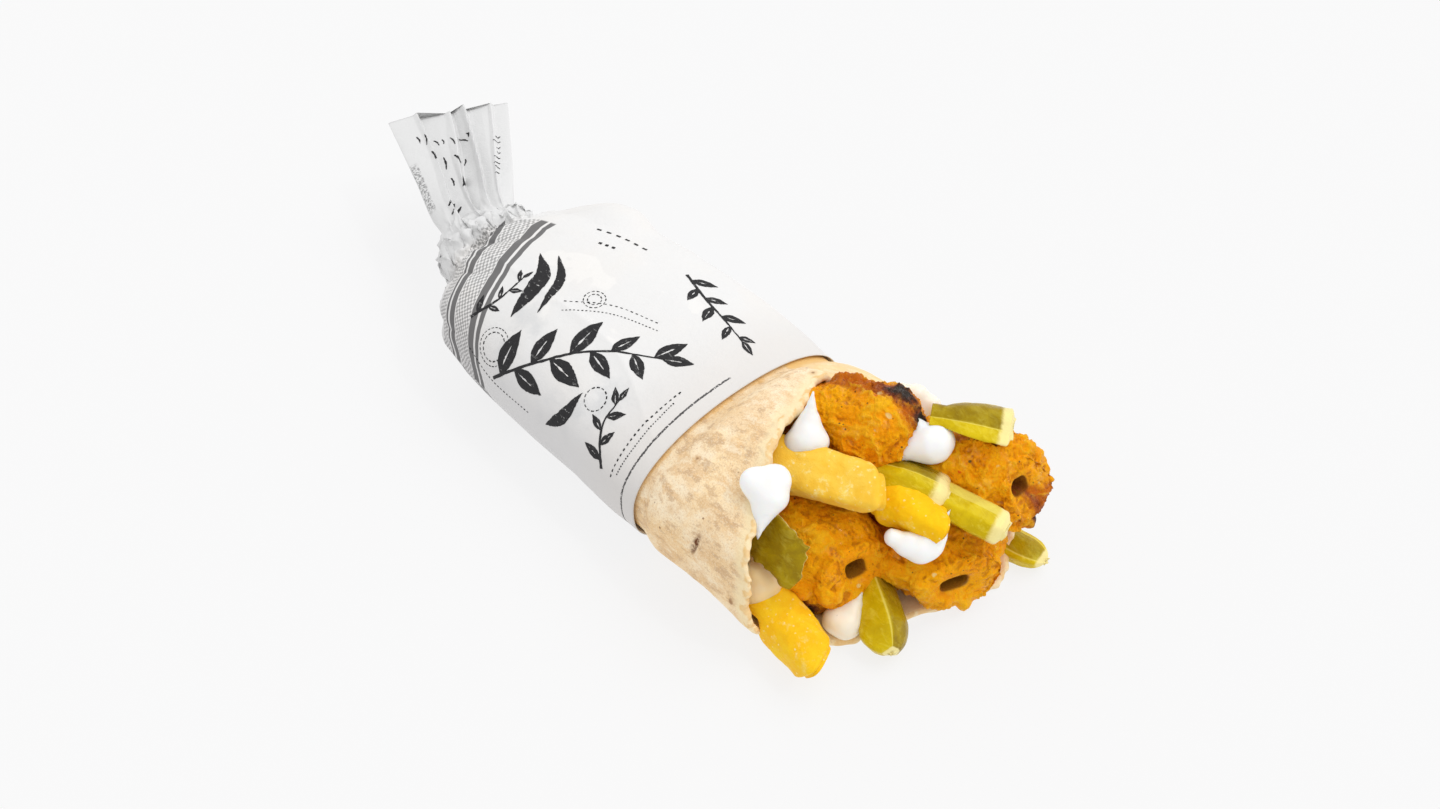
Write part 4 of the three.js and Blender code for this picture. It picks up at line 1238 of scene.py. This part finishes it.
# ---- pickles ----
# Pickled cucumber, cut in spears and one thin slice: olive skin, wet yellow-green flesh, and cut ends
# that turn pale and glassy.
# Each spear: its path, width and height, turn about its path, the flat faces of its section as [turn round
# the spear, distance from the middle], its band of skin as (turn, half-width, strength), the share of its
# length that turns pale, and how it rounds at its rear and its end.
PICKLES = {
    "pickle_long": {
        "seed": 8, "path": [(36, 14, 31.6), (54, 16, 31.4), (77, 24, 27.4)], "size": (11.2, 7.6),
        "roll": 8, "faces": [(80, 0.95), (20, 1.0), (148, 0.92), (200, 0.9), (275, 0.95), (320, 1.0)],
        "skin": (45, 34, 0.4), "pale_end": 0.09, "end": (0.05, 0.6),
    },
    "pickle_top": {
        "seed": 9, "path": [(45, 27, 45.4), (54, 33.6, 45.2), (62.5, 40, 43.8)], "size": (11.4, 8.6),
        "roll": 16, "rear": 0.85,
        "faces": [(60, 1.0), (95, 0.95), (25, 1.0), (205, 0.85), (275, 0.95), (330, 1.0)],
        "skin": (70, 48, 1.0), "pale_end": 0.17, "end": (0.06, 0.6),
    },
    "pickle_curved": {
        "seed": 10, "path": [(40, 8.5, 33), (50, 12.5, 35.2), (61.5, 18, 33)], "size": (10, 6.6),
        "roll": 4, "faces": [(90, 1.0), (40, 1.0), (140, 0.95), (215, 0.9), (290, 0.95)],
        "skin": (48, 36, 0.8), "pale_end": 0.2, "end": (0.14, 0.4),
    },
    "pickle_wedge": {
        "seed": 12, "path": [(49, -0.5, 6.6), (60, -6.5, 7.4), (74, -14.4, 6)], "size": (14, 12.6),
        "roll": -14, "rear": 0.12,
        "faces": [(150, 0.72), (60, 0.95), (25, 1.0), (350, 1.0), (270, 0.9), (215, 0.95)],
        "skin": (35, 62, 0.75), "pale_end": 0.02, "end": (0.3, 0.12),
    },
    "pickle_low": {
        "seed": 13, "path": [(50, 34, 5.2), (64, 37, 4.2), (79.5, 41, 3.8)], "size": (10.4, 7),
        "roll": 10, "faces": [(100, 0.95), (50, 0.95), (0, 1.0), (180, 0.95), (235, 0.85), (290, 0.95)],
        "skin": (85, 45, 0.6), "pale_end": 0.06, "end": (0.25, 0.25),
    },
}
SECTION_POWER = 11  # how crisp the edges between a spear's cut faces are
SPEAR_AROUND = 140
SPEAR_RINGS = 130
SPEAR_FLOOR = 0.1  # no spear lies lower than this
# The slice's outline: [share of its length, width to its upper side, width to its lower side].
SLICE = np.array(
    [
        [0, 0.02, 0.02], [0.12, 0.3, 0.75], [0.3, 0.6, 1.1], [0.5, 0.98, 0.98], [0.62, 1.0, 0.78],
        [0.78, 0.66, 0.4], [0.93, 0.42, 0.3], [1, 0.02, 0.02],
    ]
)
SLICE_PATH = [(33, -20.5, 33.5), (40, -24.5, 29.5), (49, -28, 21.5)]
SLICE_HALF_WIDTH = 8.2
SLICE_HALF_THICK = 1.4
SLICE_ROLL = 38
SLICE_AROUND = 120
SLICE_RINGS = 150

cucumber, where = finish("pickled cucumber")
rind = where.layer("skin")
cloudy = where.grain(5, 4, 0.6, 0.5)
veins = where.grain(2.2, 4, 0.7, 0.5, (2.5, 1, 1))
fine = where.grain(0.5, 2)
flesh = cloudy.between(0.3, 0.7).blend((0.55, 0.37, 0.002), (0.68, 0.49, 0.006))
flesh = (veins.between(0.5, 0.68) * 0.4).blend(flesh, (0.84, 0.69, 0.08))
green = cloudy.between(0.3, 0.7).blend((0.26, 0.155, 0.005), (0.38, 0.25, 0.004))
green = (veins.between(0.52, 0.66) * 0.4).blend(green, (0.52, 0.40, 0.05))
glassy = (where.layer("pale") + 0.5 * (cloudy - 0.5) + 0.5 * (veins - 0.5)).between(0.3, 0.8)
tone = (rind + 0.25 * (veins - 0.5)).between(0.3, 0.75).blend(flesh, green)
tone = tone.coated(
    (rind.band(0.42, 0.05, 0.06) * 0.5, (0.84, 0.72, 0.18)),
    (glassy * 0.9, (0.92, 0.79, 0.36)),
)
coat(
    cucumber,
    {
        "Base Color": tone,
        "Roughness": 0.16 + 0.22 * veins,
    },
    bump=veins * 0.5 + cloudy * 0.5 + fine * 0.1,
    depth=0.35,
    Specular_IOR_Level=0.45,
    Specular_Tint=(0.9, 1.0, 0.2, 1),
)


def cut_section(angles, faces):
    """A spear's section: how far out the nearest of its flat faces lies, blended by a high power."""
    total = 0
    for turn, away in faces:
        total = total + (np.maximum(np.cos(angles - math.radians(turn)), 0) / away) ** SECTION_POWER
    return total ** (-1 / SECTION_POWER)


for name, cut in PICKLES.items():
    angles = all_round(SPEAR_AROUND)
    share = np.linspace(0, 1, SPEAR_RINGS)[:, None]
    size = fullness(share, cut.get("rear", 0.3), *cut["end"])
    size = size * (1 + 0.03 * lumps(cut["seed"], share, angles))
    size = size * cut_section(angles, cut["faces"])
    a, u = cut["size"][0] / 2 * size * np.cos(angles), cut["size"][1] / 2 * size * np.sin(angles)
    a, u, share, closing = ended(a, u, share, 18)
    ahead = np.concatenate([0 * size, 0.5 * np.sin(3 * angles) * closing])
    grid = along_stick(cut["path"], share, a, u, cut["roll"], ahead)
    uneven = 0.22 * noise(grid, 5, cut["seed"] * 100, 2) + 0.05 * noise(grid, 1.2, cut["seed"], 2) - 0.1
    grid = raised(grid, uneven)
    grid[..., 2] = np.maximum(grid[..., 2], SPEAR_FLOOR)
    middle, spread, strength = cut["skin"]
    off_skin = np.abs(turn_from(angles, middle))
    skin_layer = strength * (1 - smooth(off_skin, spread * 0.8, spread * 1.25)) * (share < 1)
    face = np.concatenate([np.zeros_like(share[:SPEAR_RINGS]), np.ones_like(closing)])
    pale = np.maximum(smooth(share, 1 - 1.6 * cut["pale_end"], 1 - 0.4 * cut["pale_end"]), face)
    piece = skin(name + "_flesh", [grid], layers={"skin": [skin_layer], "pale": [pale]})
    piece.data.materials.append(cucumber)
    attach(piece, "root")
    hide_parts(name)

# The slice is a flat stick, torn along both its edges.
angles = all_round(SLICE_AROUND)
share = np.linspace(0, 1, SLICE_RINGS)[:, None]
teeth = 0.16 * np.abs((share * 8.3 + 0.2) % 1 - 0.5) ** 1.5
torn = 0.97 + teeth + 0.05 * np.sin(47 * share) * np.sin(13 * share)
upper, lower = column(SLICE, share, 1) * torn, column(SLICE, share, 2) * torn
a = SLICE_HALF_WIDTH * np.where(np.cos(angles) > 0, upper, lower) * np.cos(angles)
u = SLICE_HALF_THICK * np.minimum(upper + lower, 1) * np.sin(angles)
grid = along_stick(SLICE_PATH, share, a, u, SLICE_ROLL)
grid = raised(grid, 0.35 * noise(grid, 5, 1100, 3))
skin_layer, pale = 0.75 + 0.3 * np.abs(np.cos(angles)), 0.6 * np.abs(np.cos(angles)) ** 30
slice_piece = skin("pickle_leaf_flesh", [grid], layers={"skin": [skin_layer], "pale": [pale]})
slice_piece.data.materials.append(cucumber)
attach(slice_piece, "root")
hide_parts("pickle_leaf")


# ---- garlic sauce ----
# Whipped garlic sauce spooned on in soft lumps, most drawn up to a peak as the spoon left it. One has
# run over the rim. Behind them the roll is packed with sauce and crumbs, whose browns are partly crumbs of
# meat and partly painted shade in the gaps between the pieces.
# Each: its middle, how far painted warm shade tints its white to cream, and the rounded lobes it is
# made of, [sideways, up, outwards, radius] from that middle, in a slope that faces the camera.
DOLLOPS = {
    "sauce_near": {
        "middle": (33.6, -22.4, 44), "warm": 0.0,
        "lobes": [
            [-3.0, 1.6, 0, 3.8], [2.6, 2.4, 0, 3.9], [0.6, -1.4, 0.3, 4.8], [2.6, -2.8, 0, 3.0],
            [-0.4, -5.6, 0.2, 3.0], [-1.2, -8.2, 0, 2.0], [-1.7, -10.2, 0, 1.3], [-2.0, -11.8, 0, 0.8],
            [-2.2, -13.0, 0, 0.4],
        ],
    },
    "sauce_peak": {
        "middle": (25.6, -0.4, 44), "warm": 0.0,
        "lobes": [
            [0.2, -2.6, 0, 4.6], [-2.8, -4.0, 0, 3.0], [3.0, -3.2, 0, 3.0], [0.8, 0.8, 0.8, 3.2],
            [1.0, 3.4, 2.0, 2.3], [1.2, 5.4, 3.0, 1.6], [1.4, 7.0, 3.9, 1.1], [1.6, 8.3, 4.6, 0.7],
            [1.7, 9.3, 5.2, 0.45], [1.8, 10.1, 5.6, 0.25],
        ],
    },
    "sauce_far": {
        "middle": (49, 22.2, 41.4), "warm": 0.0,
        "lobes": [
            [0.8, -0.8, 0, 5.2], [3.0, 0.6, 0, 3.6], [-3.8, -1.2, -0.6, 3.6], [-7.0, -2.4, -1.2, 2.6],
            [-9.6, -3.6, -1.6, 1.8], [2.4, 3.6, -0.6, 1.6], [2.9, 5.0, -0.8, 0.9], [3.1, 6.0, -0.9, 0.6],
            [3.2, 6.9, -1.0, 0.3], [-2.2, 3.0, -0.6, 2.2], [-2.8, 4.6, -0.8, 1.3], [-3.1, 5.8, -0.9, 0.7],
            [-3.2, 6.7, -1.0, 0.3],
        ],
    },
    "sauce_middle": {
        "middle": (63.6, 4, 27), "warm": 0.0,
        "lobes": [
            [-6.2, 1.6, 0, 2.4], [-3.0, -0.2, 0, 3.2], [0.8, -1.6, 0, 3.8], [4.0, -0.2, 0, 3.2],
            [6.0, 2.0, -0.2, 2.0], [6.8, 3.8, -0.3, 1.4], [7.3, 5.4, -0.5, 1.0], [7.8, 6.8, -0.6, 0.7],
            [8.3, 8.0, -0.7, 0.45], [8.8, 8.9, -0.8, 0.25],
        ],
    },
    "sauce_side": {
        "middle": (39, -29.5, 16), "warm": 1.0,
        "lobes": [
            [-1.5, 2.5, 0, 4.4], [2.2, 0.5, 0, 4.2], [-0.5, -2.6, 0, 4.2], [3.8, 3.2, 0, 2.4],
        ],
    },
    "sauce_low": {
        "middle": (58, -15.6, 6.6), "warm": 0.45,
        "lobes": [
            [-2.8, 0, 0, 3.4], [0.4, -1.2, 0, 4.2], [1.8, 2.0, 0, 2.8], [2.8, 4.2, 0, 1.8],
            [3.6, 5.8, 0, 1.0], [4.2, 7.0, 0, 0.5],
        ],
    },
    "sauce_rear": {
        "middle": (34, 33, 39), "warm": 0.3,
        "lobes": [
            [-4.2, 1.2, 0, 3.0], [0, 0.4, 0, 3.6], [4.2, -2.0, 0, 2.8], [7.0, -3.8, 0, 1.6],
            [1.0, -4.0, -1.0, 4.0],
        ],
    },
}
BLENDING = 1.9  # how closely a lump keeps to its lobes: less runs them together
LONGEST_REACH = 18  # no lobe lies further than this from its lump's middle
REACH_STEPS = 170
LUMP_FLOOR = 0.3  # no lump lies lower than this
LUMP_RINGS = 120
LUMP_AROUND = 160
POLE = 0.01  # the turn at which a lump's first and last rings lie off its poles
CORE_BEHIND = 24  # how far behind the bread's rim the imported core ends

cream, where = finish("garlic sauce")
soft = where.grain(4, 2)
tone = soft.between(0.3, 0.8).blend((0.88, 0.885, 0.875), (0.90, 0.91, 0.91))
# painted warm shade: the white turns cream on the lumps that sit in shade among the meat and bread
tone = (where.layer("warm") * (0.55 + 0.8 * soft)).blend(tone, (0.90, 0.69, 0.37))
pepper = where.spots(5.5).below(0.05, 0.07) * where.grain(7, 2).between(0.54, 0.58)
coat(
    cream,
    {"Base Color": (pepper * 0.85).blend(tone, (0.06, 0.04, 0.03))},
    bump=soft,
    depth=0.15,
    Roughness=0.32,
    Subsurface_Weight=0.5,
    Subsurface_Scale=0.003,
    Subsurface_Radius=(1.0, 0.8, 0.6),
)

slope_across = toward(CAMERA_AZIMUTH, 0)
slope_axes = np.array([slope_across, np.cross(to_eye, slope_across), to_eye])


def lobed(directions, lobes):
    """How far a lump reaches each way: the last place where its lobes' bells e^(b(1 - d^2/r^2)) pass 1."""
    steps = np.linspace(0, LONGEST_REACH, REACH_STEPS)
    spots = directions[..., None, :] * steps[:, None]
    field = -1.0
    for *centre, radius in lobes:
        away = np.sum((spots - centre) ** 2, -1)
        field = field + np.exp(BLENDING * (1 - away / radius**2))
    last = len(steps) - 2 - np.argmax(field[..., -2::-1] >= 0, -1)
    here, beyond = (np.take_along_axis(field, k[..., None], -1)[..., 0] for k in (last, last + 1))
    return steps[last] + (steps[1] - steps[0]) * here / (here - beyond)


for name, spoon in DOLLOPS.items():
    polar = np.linspace(POLE, np.pi - POLE, LUMP_RINGS)[:, None]
    polar, around = np.broadcast_arrays(polar, all_round(LUMP_AROUND))
    rays = np.stack([np.sin(polar) * np.cos(around), np.sin(polar) * np.sin(around), np.cos(polar)], -1)
    reach = lobed(rays, spoon["lobes"])
    grid = rays * reach[..., None] @ slope_axes + np.array(spoon["middle"])
    grid = raised(grid, 0.25 * noise(grid, 5, len(name) * 10, 2) * (reach < 7.5))
    grid[..., 2] = np.maximum(grid[..., 2], LUMP_FLOOR)
    piece = skin(name + "_cream", [grid], layers={"warm": [spoon["warm"]]})
    piece.data.materials.append(cream)
    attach(piece, "root")
    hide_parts(name)

# The core's browns are partly crumbs of meat and partly painted shade in the gaps between the pieces.
crumbed, where = finish("packed filling and painted shade")
crumb = where.grain(3, 4, 0.7)
coat(
    crumbed,
    {"Base Color": crumb.between(0.4, 0.65).blend((0.34, 0.15, 0.03), (0.70, 0.55, 0.34))},
    bump=crumb,
    depth=1.0,
    Roughness=0.5,
)
angles = all_round(120)
core_depth = BREAD_WALL + 2 * GAP
core_rear = bread_point(np.array([[-74.0], [-30.0]]), angles, core_depth)
core_x = np.linspace(0.1, 1, 20)[:, None] * (column(RIM, np.degrees(angles), 1) - CORE_BEHIND)
core_front = bread_point(core_x, angles, core_depth)
last_ring = core_front[-1:]
last_middle = last_ring.mean(1, keepdims=True)
core_face = last_middle + (last_ring - last_middle) * np.linspace(1, 0.02, 24)[1:, None, None]
core_face = core_face + noise(core_face, 6, 71, 3)[..., None] * np.array([1.6, 0, 0])
core = skin("sauce_core_crumbs_and_shade", [np.concatenate([core_rear, core_front, core_face])])
core.data.materials.append(crumbed)
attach(core, "root")
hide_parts("sauce_core")
